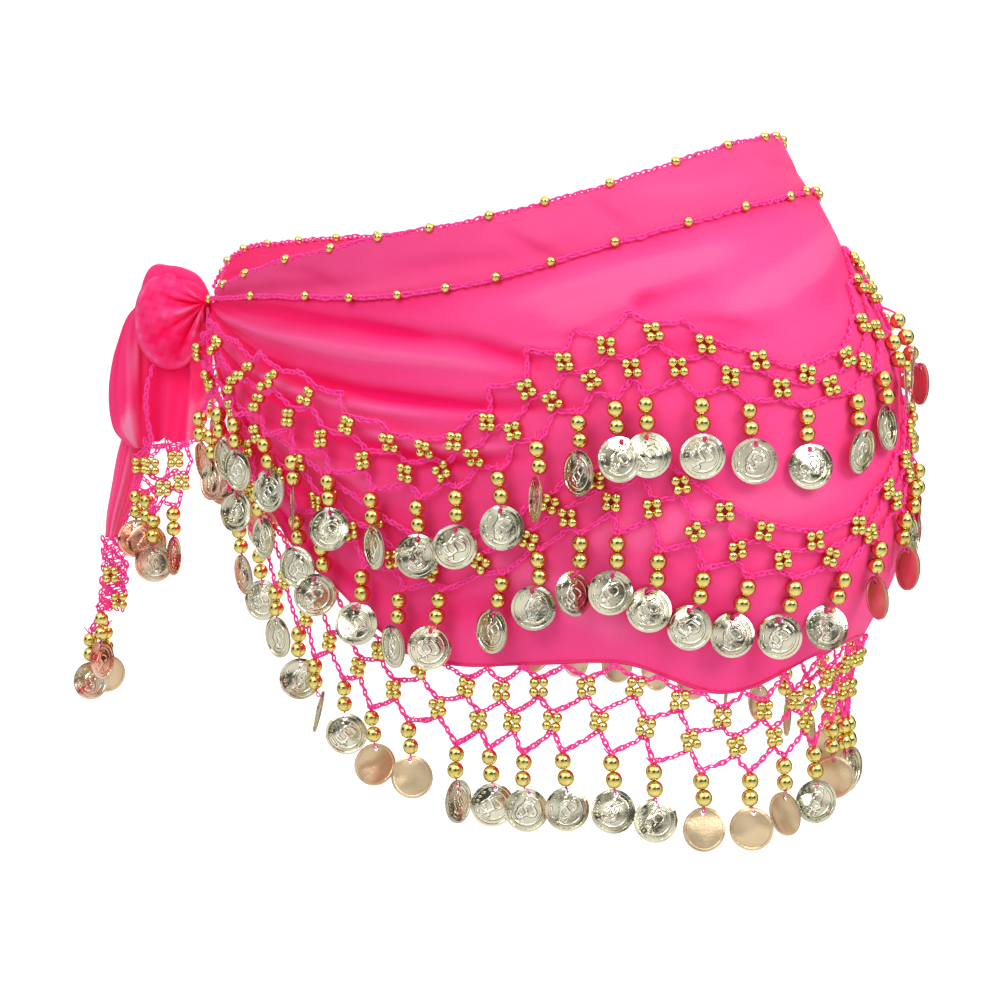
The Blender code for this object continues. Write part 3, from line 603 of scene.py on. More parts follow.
def chain_tree():
    """A crochet chain: overlapping loops of yarn along a path, tilted by turns."""
    tree = Growth("crochet_chain", ("Stitch", "Width", "Yarn", "Tilt", "Seed", "Finish"))
    path = tree.add("GeometryNodeMeshToCurve", None, {0: tree.given("Geometry")})
    path = tree.add("GeometryNodeResampleCurve", {"mode": "LENGTH"},
                    {"Curve": path, "Length": tree.given("Stitch")})
    tangent = tree.add("GeometryNodeInputTangent")
    outward = tree.add("GeometryNodeInputNamedAttribute", {"data_type": "FLOAT_VECTOR"},
                       {"Name": "outward"})
    facing = tree.add("FunctionNodeAxesToRotation", {"primary_axis": "X", "secondary_axis": "Z"},
                      {0: tangent, 1: outward})
    index = tree.add("GeometryNodeInputIndex")
    turn_about = (index.apply("MODULO", 2.0) * 2.0 - 1.0) * tree.given("Tilt")
    stray = tree.add("FunctionNodeRandomValue", {"data_type": "FLOAT"},
                     {2: -0.35, 3: 0.35, "Seed": tree.given("Seed")}, 1)
    spin = tree.add("ShaderNodeCombineXYZ", None,
                    {0: turn_about + stray, 1: stray * 0.6, 2: turn_about * 0.35 + stray * 0.5})
    spin = tree.add("FunctionNodeEulerToRotation", None, {0: spin})
    facing = tree.add("FunctionNodeRotateRotation", {"rotation_space": "LOCAL"},
                      {0: facing, 1: spin})
    loop = tree.add("GeometryNodeCurvePrimitiveCircle", {"mode": "RADIUS"},
                    {"Resolution": 8, "Radius": 0.5})
    stretch = tree.add("ShaderNodeCombineXYZ", None,
                       {0: tree.given("Stitch") * 1.5,
                        1: tree.given("Width") - tree.given("Yarn"), 2: 1.0})
    loop = tree.add("GeometryNodeTransform", None, {"Geometry": loop, "Scale": stretch})
    strand = tree.add("GeometryNodeCurvePrimitiveCircle", {"mode": "RADIUS"},
                      {"Resolution": 4, "Radius": tree.given("Yarn") * 0.5})
    loop = tree.add("GeometryNodeCurveToMesh", None, {"Curve": loop, "Profile Curve": strand})
    size = tree.add("FunctionNodeRandomValue", {"data_type": "FLOAT"},
                    {2: 0.88, 3: 1.16, "Seed": tree.given("Seed")}, 1)
    loops = tree.add("GeometryNodeInstanceOnPoints", None,
                     {"Points": path, "Instance": loop, "Rotation": facing, "Scale": size})
    tree.finish_with(tree.add("GeometryNodeSetShadeSmooth", None, {0: loops}))
    return tree


def bead_tree():
    """Round beads, each of its own size."""
    tree = Growth("beads", ("Finish",))
    bead = tree.add("GeometryNodeMeshUVSphere", None, {"Segments": 10, "Rings": 7, "Radius": 0.5})
    bead = tree.add("GeometryNodeSetShadeSmooth", None, {0: bead})
    size = tree.add("GeometryNodeInputNamedAttribute", {"data_type": "FLOAT"}, {"Name": "size"})
    places = {"Points": tree.given("Geometry"), "Instance": bead, "Scale": size}
    tree.finish_with(tree.add("GeometryNodeInstanceOnPoints", None, places))
    return tree


CHAIN = chain_tree()
BEADS = bead_tree()


def joined(paths):
    """The points of all the paths, and the edges along each."""
    edges = []
    first = 0
    for path in paths:
        edges.extend((i, i + 1) for i in range(first, first + len(path) - 1))
        first += len(path)
    return np.concatenate(paths), edges


def chain(name, cords, seed):
    """Crochet chains along cords, each a path of points and the directions out of its cloth."""
    points, edges = joined([path for path, _ in cords])
    outward = np.concatenate([out for _, out in cords])
    return CHAIN.grow(name, points, edges, {"outward": outward}, GLOWING_YARN, Stitch=STITCH * MM,
                      Width=STITCH_WIDE * MM, Yarn=YARN * MM, Tilt=LOOP_TILT, Seed=seed)


def beads(name, points, sizes):
    return BEADS.grow(name, points, [], {"size": np.asarray(sizes) * MM}, BEAD_GILT)


def band_top(turn):
    """Height of the first turn's upper edge."""
    return read(TOP_EDGE, turn)[..., 0]


def edging(name, edge, proud, bead_turns, seed):
    """A chain along an edge, with its small beads."""
    chance = np.random.default_rng(seed)
    turns = np.linspace(WALL_START, WALL_END, EDGING_STEPS)
    wander = np.interp(turns, turns[::4], chance.normal(0, 0.28, len(turns[::4])))
    cord = on_hips(turns, edge(turns) + EDGING_RISE + wander, proud)
    mount(chain(name + "_stitches", [cord], seed), name)
    bead_turns = np.asarray(bead_turns, float)
    spots, _ = on_hips(bead_turns, edge(bead_turns) + EDGING_RISE + 0.2, proud + 0.6)
    mount(beads(name + "_beads", spots, np.full(len(spots), SMALL_BEAD)), None)


def even_turns(start, end, height):
    """Turns for beads that are evenly apart along an edge."""
    steps = np.linspace(start, end, 400)
    points, _ = on_hips(steps, height, 0)
    lengths = np.concatenate(((0,), np.cumsum(np.linalg.norm(np.diff(points, axis=0), axis=1))))
    count = int(round(lengths[-1] / EDGING_PITCH))
    return np.interp(np.linspace(0, lengths[-1], count + 1), lengths, steps)


edging("top_edging", band_top, TOP_EDGING_FACE, (*TOP_BEAD_TURNS, *even_turns(163, 351, 0)), 11)
edging("outer_edging", wrap_top, OUTER_EDGING_FACE,
       (*OUTER_BEAD_TURNS, *even_turns(158, 349, -20)), 12)


# ---------------------------------------------------------------- crochet nets
# Three nets of crocheted chain round the second turn. Each has a scalloped top cord, two
# staggered rows of four-bead clusters with a cord between, and a lowest cord for pendants.

HEM_NET = (
    # column, turn of the pendant, height of the upper clusters, lift, drop, slant
    (0, 14, -66, 14, 20, 0), (1, 22.9, -99.3, 17.5, 21, 3), (2, 31.4, -107.4, 8.5, 21, 0.5),
    (3, 36.6, -120.8, 6.5, 21, 0.5), (4, 43, -135.2, 6.5, 21, 0.5), (5, 47.5, -146, 9.5, 21.5, 2),
    (6, 54.6, -152, 7.5, 22.1, 0.5), (7, 60.6, -161.5, 6, 22.4, 2), (8, 68.2, -166.5, 4.5, 20, 2.4),
    (9, 76.8, -172, 7.5, 21.4, 2.2), (10, 82.7, -172.5, 9.5, 20.9, 2.4),
    (11, 88.4, -170.2, 8, 24.1, 2.9), (12, 95.4, -169.4, 9, 23.6, 3.7),
    (13, 103.5, -169, 7, 24.1, 3.8), (14, 110.9, -173.8, 5.5, 22.3, 4.6),
    (15, 119.7, -180.4, 8.5, 19.2, 4.2), (16, 129.6, -178.7, 10, 21.7, 3.2),
    (17, 138.1, -176.2, 14, 20, 2.4), (18, 147.5, -169.4, 11, 24.3, 2), (19, 155, -166, 9, 20.5, 2),
    (20, 163, -165, 8, 22, 0), (23, 186, -168, 8.5, 22, 0), (27, 219, -157, 8.5, 21, 0),
    (31, 252, -149, 8, 21, 0), (34, 279, -146, 9, 21, 0), (36, 298, -138, 11, 21, 0),
    (38, 318, -120, 14, 20, 0), (40, 338, -90, 14, 20, 0),
)
UPPER_NET = (
    (0, 17.5, -53, 5, 23, 0), (1, 28.9, -49.7, 6, 23.6, 0.5), (2, 34.6, -59.3, 7.5, 17.2, 3.9),
    (3, 43, -62.2, 7.6, 21, 3.1), (4, 49, -67.7, 6.6, 21.1, 3.9), (5, 55.9, -77.8, 5.8, 17.5, 3.9),
    (6, 63.3, -83.7, 4.2, 17.2, 3.5), (7, 70.8, -85.4, 3.5, 17.4, 1.5),
    (8, 77, -82.2, 4.9, 16.3, 0.1), (9, 83.5, -75.2, 6.8, 15.9, -1.7),
    (10, 89.5, -63.3, 8, 16.9, -1.5), (11, 95.4, -53.7, 8.7, 17.2, -1.5),
    (12, 100.8, -48.1, 8.8, 17.8, -0.4), (13, 105.2, -43.2, 7.6, 21.2, 2.8),
    (14, 113.1, -47.4, 4, 17.4, 2.6), (15, 121, -53, 3, 13.6, 3), (16, 130.8, -58, 3, 10.9, 1.7),
    (17, 142.5, -52.3, 5.3, 12, 0), (18, 151.5, -40.4, 8, 16.3, 0), (20, 169, -18, 8, 18, 0),
    (23, 194, -44, 4, 16, 0), (26, 219, -20, 8, 19, 0), (30, 257, -52, 4, 16, 0),
    (33, 285, -32, 8, 19, 0), (36, 311, -60, 4, 18, 0), (38, 329, -58, 4, 20, 0),
    (40, 347, -50, 4, 20, 0),
)
MIDDLE_NET = (
    (0, 20, -64, 4, 19, 1), (1, 30.7, -74, 4, 19.4, 1.8), (2, 37.2, -83, 4, 19.5, 2.5),
    (3, 46.9, -92.5, 4, 19, 2.6), (4, 52.4, -102.2, 4, 18.5, 2.6), (5, 60.1, -112.6, 4, 17.5, 2.5),
    (6, 67, -120.5, 4, 16.9, 2), (7, 74, -121, 4, 15.1, 1.5), (8, 83, -112.8, 6, 16.1, 1.5),
    (9, 88.4, -103.6, 7, 16.1, 1.7), (10, 94.3, -94.8, 8, 18.7, 2.8),
    (11, 99.9, -88.3, 8, 24.8, 3.9), (12, 106.1, -96.2, 6, 23.1, 3.5),
    (13, 113.4, -105.4, 4, 20.2, 2.7), (14, 121.1, -112.6, 4, 16.1, 1.7),
    (15, 129.8, -116.4, 4, 13.2, 2.8), (16, 139.9, -112, 5, 15.5, 2.5),
    (17, 149, -99.9, 7, 17.8, 2.5), (18, 158.5, -90, 8, 18.7, 1.5), (20, 171, -74, 8, 18, 0),
    (23, 198, -98, 4, 16, 0), (26, 224, -72, 8, 19, 0), (30, 259, -98, 4, 16, 0),
    (33, 285, -77, 8, 19, 0), (36, 310, -94, 4, 18, 0), (38, 328, -83, 4, 20, 0),
    (40, 343, -70, 4, 20, 0),
)
NETS = (("hem", HEM_NET, 0), ("middle", MIDDLE_NET, 1), ("upper", UPPER_NET, 2))
LAST_COLUMN = 40
SPLIT_COLUMN = 20
CORD_SLACK = 0.45
CORD_STEPS = 5
CORD_FACE = 4.0
CLUSTER_FACE = 4.8
ROW_SHARE = 0.54
SLANT_SHARE = 0.6
CORD_TO_CLUSTER = 3.4
CLUSTER_HALF = 1.66
UP = (0, 0, 1)
# Places round a cluster where a fold could reach its beads, and its own middle last.
AROUND_TURN = np.array((-1.3, 0, 1.3, 0, -1.1, 1.1, -1.1, 1.1, 0))
AROUND_HEIGHT = np.array((0, -2.4, 0, 2.4, -2.1, -2.1, 2.1, 2.1, 0))
UPPER_CATCHES = {
    # column: turn and height at which the top net is caught on the cloth
    0.5: (25.4, -40.4), 1.5: (35.2, -48.3), 2.5: (41.8, -51.9), 3.5: (50.4, -58.6),
    4.5: (58.1, -65.8), 5.5: (64.8, -75.9), 6.5: (69.5, -81.0), 7.5: (75.0, -80.9),
    8.5: (79.5, -71.8), 9.5: (82.3, -62.5), 10.5: (88.2, -49.3), 11.5: (96.0, -42.6),
    12.5: (105.1, -36.3), 13.5: (113.6, -39.4), 14.5: (119.1, -48.1), 15.5: (128.4, -54.6),
    16.5: (138.8, -51.0), 17.5: (149.0, -38.6),
}
LAYER_STEP = 2.4
CROWDED_TO = 45.0
CROWDED_FADE = 35.0


def net_row(rows, column):
    """Turn, cluster height, lift, drop and slant; it runs on evenly past both ends."""
    inside = np.clip(column, rows[0][0], rows[-1][0])
    return np.moveaxis(2 * read(rows, inside) - read(rows, 2 * inside - column), -1, 0)


def crowding(turn):
    """One where the nets lie over each other beside the knot, nought where they lie apart."""
    return np.clip(1 - (np.minimum(turn, 360 - turn) - CROWDED_TO) / CROWDED_FADE, 0, 1)


def on_wrap(turn, height, proud):
    """A place on the second turn, or level with it where a net hangs below the hem."""
    over_cloth = np.clip((height - hem_height(turn)) / 6, 0, 1)
    return on_hips(turn, height, proud + wrap_push(turn, height) * over_cloth)


def cord_path(rows, columns, level, layer, chance):
    """A cord through its peaks and dips, a little slack between them."""
    nodes = np.array([level(rows, column) for column in columns])
    share = np.linspace(0, 1, CORD_STEPS + 1)[:-1]
    between = nodes[:-1, None] + (nodes[1:, None] - nodes[:-1, None]) * share[None, :, None]
    slack = chance.uniform(0.3, 1.6, (len(nodes) - 1, 1))
    between[..., 1] -= CORD_SLACK * np.sin(np.pi * share)[None, :] * slack
    path = np.concatenate((between.reshape(-1, 2), nodes[-1:]))
    path[:, 1] += chance.normal(0, 0.16, len(path))
    proud = CORD_FACE + LAYER_STEP * layer * crowding(path[:, 0])
    return on_wrap(path[:, 0], path[:, 1], proud + chance.normal(0, 0.12, len(path)))


def top_cord(rows, column):
    """Up to where the net is caught on the cloth, and down to each upper cluster."""
    turn, height, lift, _, slant = net_row(rows, column)
    if rows is UPPER_NET and column in UPPER_CATCHES:
        return UPPER_CATCHES[column]
    peak = round(column * 2) % 2
    return turn + slant, height + (lift - 0.6 if peak else CORD_TO_CLUSTER)


def second_cord(rows, column):
    turn, height, _, drop, slant = net_row(rows, column)
    if round(column * 2) % 2:
        return turn + slant * SLANT_SHARE, height + CORD_TO_CLUSTER - drop * ROW_SHARE
    return turn + slant, height - CORD_TO_CLUSTER


def lowest_cord(rows, column):
    turn, height, _, drop, slant = net_row(rows, column)
    if round(column * 2) % 2:
        return turn + slant * SLANT_SHARE, height - drop * ROW_SHARE - CORD_TO_CLUSTER
    return turn, height - drop


def cluster_beads(rows, places, layer, chance):
    """Four small beads to a cluster, each cluster tilted a little its own way."""
    spots = []
    for column, row_drop in places:
        turn, height, _, drop, slant = net_row(rows, column)
        turn = turn + slant * (SLANT_SHARE if row_drop else 1.0)
        height = height - drop * row_drop
        tilt = chance.normal(0, 0.22)
        spread = CLUSTER_HALF * chance.uniform(0.98, 1.08)
        proud = CLUSTER_FACE + LAYER_STEP * layer * crowding(turn)
        about = wrap_push(turn + AROUND_TURN, height + AROUND_HEIGHT)
        over_fold = (about.max() - about[-1]) * (height > hem_height(turn))
        _, out = on_wrap(turn, height, proud)
        side = np.cross(UP, out)
        for corner in range(4):
            angle = tilt + math.pi / 4 + corner * math.pi / 2
            reach = spread * math.sqrt(2) * chance.uniform(0.93, 1.07)
            spot, _ = on_wrap(turn, height + reach * math.sin(angle), proud + over_fold)
            spots.append(spot + side * reach * math.cos(angle) + out * chance.normal(0.1, 0.12))
    return np.array(spots)


NET_SIDES = (("left", -0.5, SPLIT_COLUMN + 0.5), ("right", SPLIT_COLUMN + 0.5, LAST_COLUMN + 0.5))
for net_name, rows, layer in NETS:
    for side_name, first, last in NET_SIDES:
        chance = np.random.default_rng(100 + layer * 10 + int(last))
        node = f"{net_name}_net_{side_name}"
        halves = np.arange(first, last + 0.25, 0.5)
        inner_halves = halves[(halves >= 0) & (halves <= LAST_COLUMN)]
        cords = [cord_path(rows, halves, top_cord, layer, chance),
                 cord_path(rows, inner_halves, second_cord, layer, chance)]
        mount(chain(node + "_cords", cords, 20 + layer), node)
        clusters = [(column, 0.0) for column in inner_halves if column == round(column)]
        clusters += [(column, ROW_SHARE) for column in inner_halves if column != round(column)
                     and not (side_name == "right" and column < SPLIT_COLUMN + 1)]
        spots = cluster_beads(rows, clusters, layer, chance)
        mount(beads(node + "_beads", spots, chance.uniform(0.96, 1.04, len(spots)) * SMALL_BEAD),
              node)


# ---------------------------------------------------------------- coin pendants
# Below each dip of the lowest cord hang two round gilt beads and a thin stamped coin, on
# yarn that fans out into the cord. The coins are pressed brass with a plain back.

BIG_BEAD = 6.15
THREAD = 0.55
THREAD_FAN = (-2.6, -1.0, 0.9, 2.5)
FIRST_BEAD_DROP = 3.8
SECOND_BEAD_DROP = 9.9
COIN_DROP = 21.3
COIN = 16.0
COIN_RIM = 0.9
COIN_THICK = 1.0
COIN_SUNK = 0.28
COIN_SLOPE = 0.25
COIN_ROUND = 0.12
BACK_ASIDE = 40.0
COIN_SHADED_GROUND = (0.62, 0.58, 0.40)
COIN_LIT_RELIEF = (0.97, 0.95, 0.80)
COIN_PINK_REFLECTION = (0.90, 0.36, 0.24)
COIN_BACK = (0.78, 0.60, 0.38)
COIN_SIDES = 28
COIN_HOLE = 6.1
DOT_RING = 5.7
DOTS = 16
CLEAR_OF_NET = 7.0
CLEAR_FADE = 6.0
CLEAR_OF_CLOTH = 1.9
STAND_OFF = 0.42
PINK_REFLECTION_MIDDLE = (-0.120, -0.088)
PINK_REFLECTION_REACH = (0.034, 0.082)


def coin_shape():
    """A thin disc with a raised rim, and its own UV map in millimetres; the back is set aside."""
    rim = COIN / 2 - COIN_RIM
    rings = ((rim - COIN_SLOPE, COIN_THICK / 2 - COIN_SUNK), (rim, COIN_THICK / 2),
             (COIN / 2, COIN_THICK / 2 - COIN_ROUND))
    points = []
    for face in (-1, 1):
        for radius, lift in rings:
            for k in range(COIN_SIDES):
                angle = 2 * math.pi * k / COIN_SIDES
                points.append((radius * math.cos(angle), face * lift, radius * math.sin(angle)))
    n = COIN_SIDES
    faces = [tuple(range(n)), tuple(3 * n + k for k in reversed(range(n)))]
    for k in range(n):
        j = (k + 1) % n
        for ring in range(2):
            low = ring * n
            faces.append((low + k, low + n + k, low + n + j, low + j))
            low = (3 + ring) * n
            faces.append((low + j, low + n + j, low + n + k, low + k))
        faces.append((2 * n + k, 5 * n + k, 5 * n + j, 2 * n + j))
    mesh = bpy.data.meshes.new("coin")
    mesh.from_pydata([tuple(v * MM for v in p) for p in points], [], faces)
    layer = mesh.uv_layers.new(name="stamp")
    for loop, spot in zip(mesh.loops, layer.data):
        x, y, z = points[loop.vertex_index]
        spot.uv = (x + (BACK_ASIDE if y > 0 else 0), z)
    return bpy.data.objects.new("coin", mesh)


def coin_finish():
    """Pale plated brass, stamped with half a border of dots and a loose flower and stem.

    A pink reflection of the cloth is painted on the coins beside the knot; the stamp's low ground
    is painted in shade and its relief in highlight; the hole is cut by the finish.
    """
    finish = Finish("coin_gilt", Metallic=1.0, Specular_Tint=(0.8, 0.74, 0.5, 1))
    stamp = finish.add("ShaderNodeUVMap", {"uv_map": "stamp"})
    u, v, _ = finish.parts(stamp)
    back = u.ramp(18, 22)
    u = u - back * BACK_ASIDE
    radius = (u * u + v * v).apply("SQRT")
    angle = v.apply("ARCTAN2", u)
    place = finish.add("ShaderNodeTexCoord", None, None, "Object")
    own = finish.noise(place, 55.0, 1.0) - 0.5
    wear = finish.noise(stamp, 0.9, 2.0)
    u = u + own * 1.6
    turned = angle + own * 5.0
    step = turned * (DOTS / (2 * math.pi))
    step = step - (step + 0.5).apply("FLOOR")
    off = step * (2 * math.pi * DOT_RING / DOTS)
    from_ring = radius - DOT_RING
    dots = 1 - (from_ring * from_ring + off * off).apply("SQRT").ramp(0.25, 0.62)
    open_part = (angle + 0.4).apply("COSINE").ramp(-0.35, -0.05)
    line = 1 - (radius - 5.5).apply("ABSOLUTE").ramp(0.1, 0.5)
    curl = (turned * 2.0).apply("SINE") * 0.9 + (turned * 3.0).apply("COSINE") * 0.5
    bloom = 1 - (radius - 2.7 - curl).apply("ABSOLUTE").ramp(0.25, 0.85)
    stem = u * 0.8 - v * 0.35 + (v * 1.1).apply("SINE") * 0.9
    stem = 1 - stem.apply("ABSOLUTE").ramp(0.2, 0.75)
    leaf = 1 - (u + 1.7 + (v * 0.8).apply("COSINE") * 1.1).apply("ABSOLUTE").ramp(0.2, 0.7)
    inner = 1 - radius.ramp(4.0, 4.9)
    relief = (bloom * 0.8 + stem + leaf * 0.7).apply("MINIMUM", 1.25) * inner
    relief = relief + dots * (1 - open_part) + line * open_part * 0.7
    relief = relief * (1 - back) * 0.42 + wear * 0.10
    dish = own * 9.0 - radius * radius * 0.009
    aside = u - own * 1.6
    above = v - COIN_HOLE
    hole = (aside * aside + above * above * 0.5).apply("SQRT")
    # painted shade and highlight: the stamp's low ground is darker, its raised relief brighter
    relief_shading = (relief * 1.6 + 0.2).apply("MINIMUM", 1.0)
    front = finish.mix(relief_shading, COIN_SHADED_GROUND, COIN_LIT_RELIEF)
    # a painted pink reflection of the cloth on the coins beside the knot, stronger on some than others
    x, y, _ = finish.parts(place)
    aside = x - PINK_REFLECTION_MIDDLE[0]
    ahead = y - PINK_REFLECTION_MIDDLE[1]
    beside_knot = 1 - (aside * aside + ahead * ahead).apply("SQRT").ramp(*PINK_REFLECTION_REACH)
    pink_reflection = (beside_knot * (0.80 + own * 3.6)).apply("MAXIMUM").apply("MINIMUM", 0.8)
    front = finish.mix(pink_reflection, front, COIN_PINK_REFLECTION)
    finish.feed(Base_Color=finish.mix(back, front, COIN_BACK),
                Roughness=0.13 + wear * 0.10 + back * 0.25,
                Alpha=hole.ramp(0.75, 0.85))
    finish.bump(relief + dish, 1.0, 1.0)
    return finish


def coin_tree():
    """Coins, each hanging its own way."""
    tree = Growth("coins", ("Shape", "Finish"))
    coin = tree.add("GeometryNodeObjectInfo", None, {0: tree.given("Shape")}, "Geometry")
    pose = tree.add("GeometryNodeInputNamedAttribute", {"data_type": "FLOAT_VECTOR"}, {"Name": "pose"})
    pose = tree.add("FunctionNodeEulerToRotation", None, {0: pose})
    places = {"Points": tree.given("Geometry"), "Instance": coin, "Rotation": pose}
    tree.finish_with(tree.add("GeometryNodeInstanceOnPoints", None, places))
    return tree


def thread_tree():
    """Plain yarn along paths."""
    tree = Growth("threads", ("Yarn", "Finish"))
    path = tree.add("GeometryNodeMeshToCurve", None, {0: tree.given("Geometry")})
    strand = tree.add("GeometryNodeCurvePrimitiveCircle", {"mode": "RADIUS"},
                      {"Resolution": 4, "Radius": tree.given("Yarn") * 0.5})
    cords = tree.add("GeometryNodeCurveToMesh", None,
                     {"Curve": path, "Profile Curve": strand, "Fill Caps": True})
    tree.finish_with(tree.add("GeometryNodeSetShadeSmooth", None, {0: cords}))
    return tree


COIN_GILT = coin_finish()
COIN_SHAPE = coin_shape()
COINS = coin_tree()
THREADS = thread_tree()


def threads(name, paths):
    points, edges = joined(paths)
    return THREADS.grow(name, points, edges, {}, GLOWING_YARN, Yarn=THREAD * MM)


def hang(name, pendants, cord, seed):
    """A cord and its pendants: each a root, the way out, two beads, a coin and the coin's pose."""
    spots = []
    sizes = []
    yarns = []
    chance = np.random.default_rng(seed)
    for root, out, bead_one, bead_two, coin, (_, roll, yaw) in pendants:
        side = np.cross(UP, out)
        spots += [bead_one, bead_two]
        sizes += list(chance.uniform(0.97, 1.04, 2) * BIG_BEAD)
        for reach in THREAD_FAN:
            start = root + side * reach + np.array((0, 0, 0.9 + 0.25 * abs(reach)))
            end = bead_one + np.array((0, 0, BIG_BEAD / 2 - 0.6)) + side * reach * 0.12
            yarns.append(np.array((start, (start + end) / 2 + out * 0.3, end)))
        up = np.array((math.sin(roll) * math.cos(yaw), math.sin(roll) * math.sin(yaw), math.cos(roll)))
        hole = coin + up * (COIN_HOLE + 0.2)
        low = bead_two - np.array((0, 0, BIG_BEAD / 2 - 0.5))
        front = hole + out * 0.9
        rear = hole - out * 0.9
        yarns.append(np.array((low, (low + front) / 2 + side * 0.5, front, hole - up * 0.2, rear,
                               (low + rear) / 2 - side * 0.5, low)))
    mount(chain(name + "_cord", [cord], seed), name)
    mount(threads(name + "_threads", yarns), None)
    mount(beads(name + "_beads", np.array(spots), sizes), name)
    coins = np.array([coin for *_, coin, _ in pendants])
    poses = np.array([pose for *_, pose in pendants])
    mount(COINS.grow(name + "_discs", coins, [], {"pose": poses}, COIN_GILT, Shape=COIN_SHAPE),
          name)


def hanging_steps(layer, turn, height):
    """Steps that a pendant stands out, to clear only the nets that it hangs over."""
    if layer == 0:
        return 0.0
    below = np.array((HEM_NET, MIDDLE_NET)[layer - 1], float)
    edge = read(np.column_stack((below[:, 1] + below[:, 5], below[:, 2] + below[:, 3])), turn)[0]
    over = np.clip((edge + CLEAR_OF_NET - (height - COIN_DROP - COIN / 2)) / CLEAR_FADE, 0, 1)
    return (layer - 1) * crowding(turn) + max(crowding(turn), over)


def facing(out):
    """The turn that sets a coin's face outward."""
    return math.atan2(out[0], -out[1])


TURNED = {
    # column: the way that coin faces, in degrees from straight ahead toward the wearer's left
    "upper": {0: -11, 1: -6, 2: 6, 3: 12, 4: -32, 5: 30, 6: -9, 7: 44, 8: 60, 9: 38, 10: -24,
              11: 0, 12: 70, 13: 46, 14: 58, 15: 40, 16: 62, 17: 105, 18: 110, 19: 134},
    "middle": {0: 2, 1: 14, 2: -4, 3: 20, 4: 58, 5: 42, 6: -5, 7: 60, 8: 5, 9: 45, 10: 91,
               11: 62, 12: 48, 13: 38, 14: 60, 15: 44, 16: 66, 17: 163, 18: 166},
    "hem": {0: 10, 1: -8, 2: 24, 4: 62, 5: -34, 6: 46, 7: 252, 8: 217, 9: 108, 10: 60, 11: 44,
            12: 58, 13: 46, 14: 62, 15: 248, 16: 222, 17: 180, 18: 70, 19: 215},
}
COIN_ROWS = (("left", 0, SPLIT_COLUMN), ("right", SPLIT_COLUMN + 1, LAST_COLUMN))
for net_name, rows, layer in NETS:
    for side_name, first, last in COIN_ROWS:
        chance = np.random.default_rng(300 + layer * 10 + first)
        node = f"{net_name}_coins_{side_name}"
        start = first if first == 0 else first - 0.5
        end = last + 0.5 if last < LAST_COLUMN else last
        cord = cord_path(rows, np.arange(start, end + 0.25, 0.5), lowest_cord, layer, chance)
        pendants = []
        for column in range(first, last + 1):
            turn, height = lowest_cord(rows, column)
            proud = CORD_FACE + LAYER_STEP * hanging_steps(layer, turn, height)
            root, out = on_wrap(turn, height, CORD_FACE + LAYER_STEP * layer * crowding(turn))
            free = 0 if net_name == "hem" else CLEAR_OF_CLOTH
            shift = chance.normal(0, 0.35, 3)
            bead_one, _ = on_hips(turn + shift[0] * 0.4, height - FIRST_BEAD_DROP, proud + free)
            bead_two, _ = on_hips(turn + shift[1] * 0.4, height - SECOND_BEAD_DROP, proud + free)
            stray = facing(out) + math.radians(chance.normal(0, 14 if free else 24))
            turned = TURNED[net_name].get(column)
            yaw = stray if turned is None else math.radians(turned)
            stand_off = STAND_OFF * COIN * abs(math.sin(yaw - facing(out))) if free else 0
            coin, _ = on_hips(turn + shift[2] * 0.4, height - COIN_DROP, proud + free * 0.6 + stand_off)
            pose = (chance.normal(0, 0.08), chance.normal(0, 0.10), yaw)
            pendants.append((root, out, bead_one, bead_two, coin, pose))
        hang(node, pendants, cord, 400 + layer * 10 + first)


# ---------------------------------------------------------------- knot
# The two ends of the scarf are tied once at the front of the right hip. The cloth is pulled
# through tight, so folds fan out from the pinch, and a full petal of cloth falls over it.

KNOT_MIDDLE = (134.5, -47, -37.5)
KNOT_HALF = (15, 12, 18.5)
PINCH = (121.5, -39.0, -33.5)
KNOT_COLUMNS = 120
KNOT_ROWS = 60
POLE = 0.04

KNOT_CHIFFON = chiffon("knot_chiffon", (1.0, 0.048, 0.225), (1.0, 0.003, 0.115))


def knot_place(across, along, height):
    """Points given in the knot's own directions."""
    across, along, height = np.broadcast_arrays(across, along, height)
    x = -math.cos(SET_BACK_ANGLE) * across + math.sin(SET_BACK_ANGLE) * along
    y = -math.sin(SET_BACK_ANGLE) * across - math.cos(SET_BACK_ANGLE) * along
    return np.stack((x, y, height), -1)


def knot_front(across, height):
    """Where a cloth that lies on the front of the knot runs."""
    side = (across - KNOT_MIDDLE[0]) / (KNOT_HALF[0] + 2)
    rise = (height - KNOT_MIDDLE[2]) / (KNOT_HALF[2] + 14)
    return KNOT_MIDDLE[1] + KNOT_HALF[1] * np.sqrt(np.clip(1 - side**2 - rise**2, 0, 1)) + 0.3


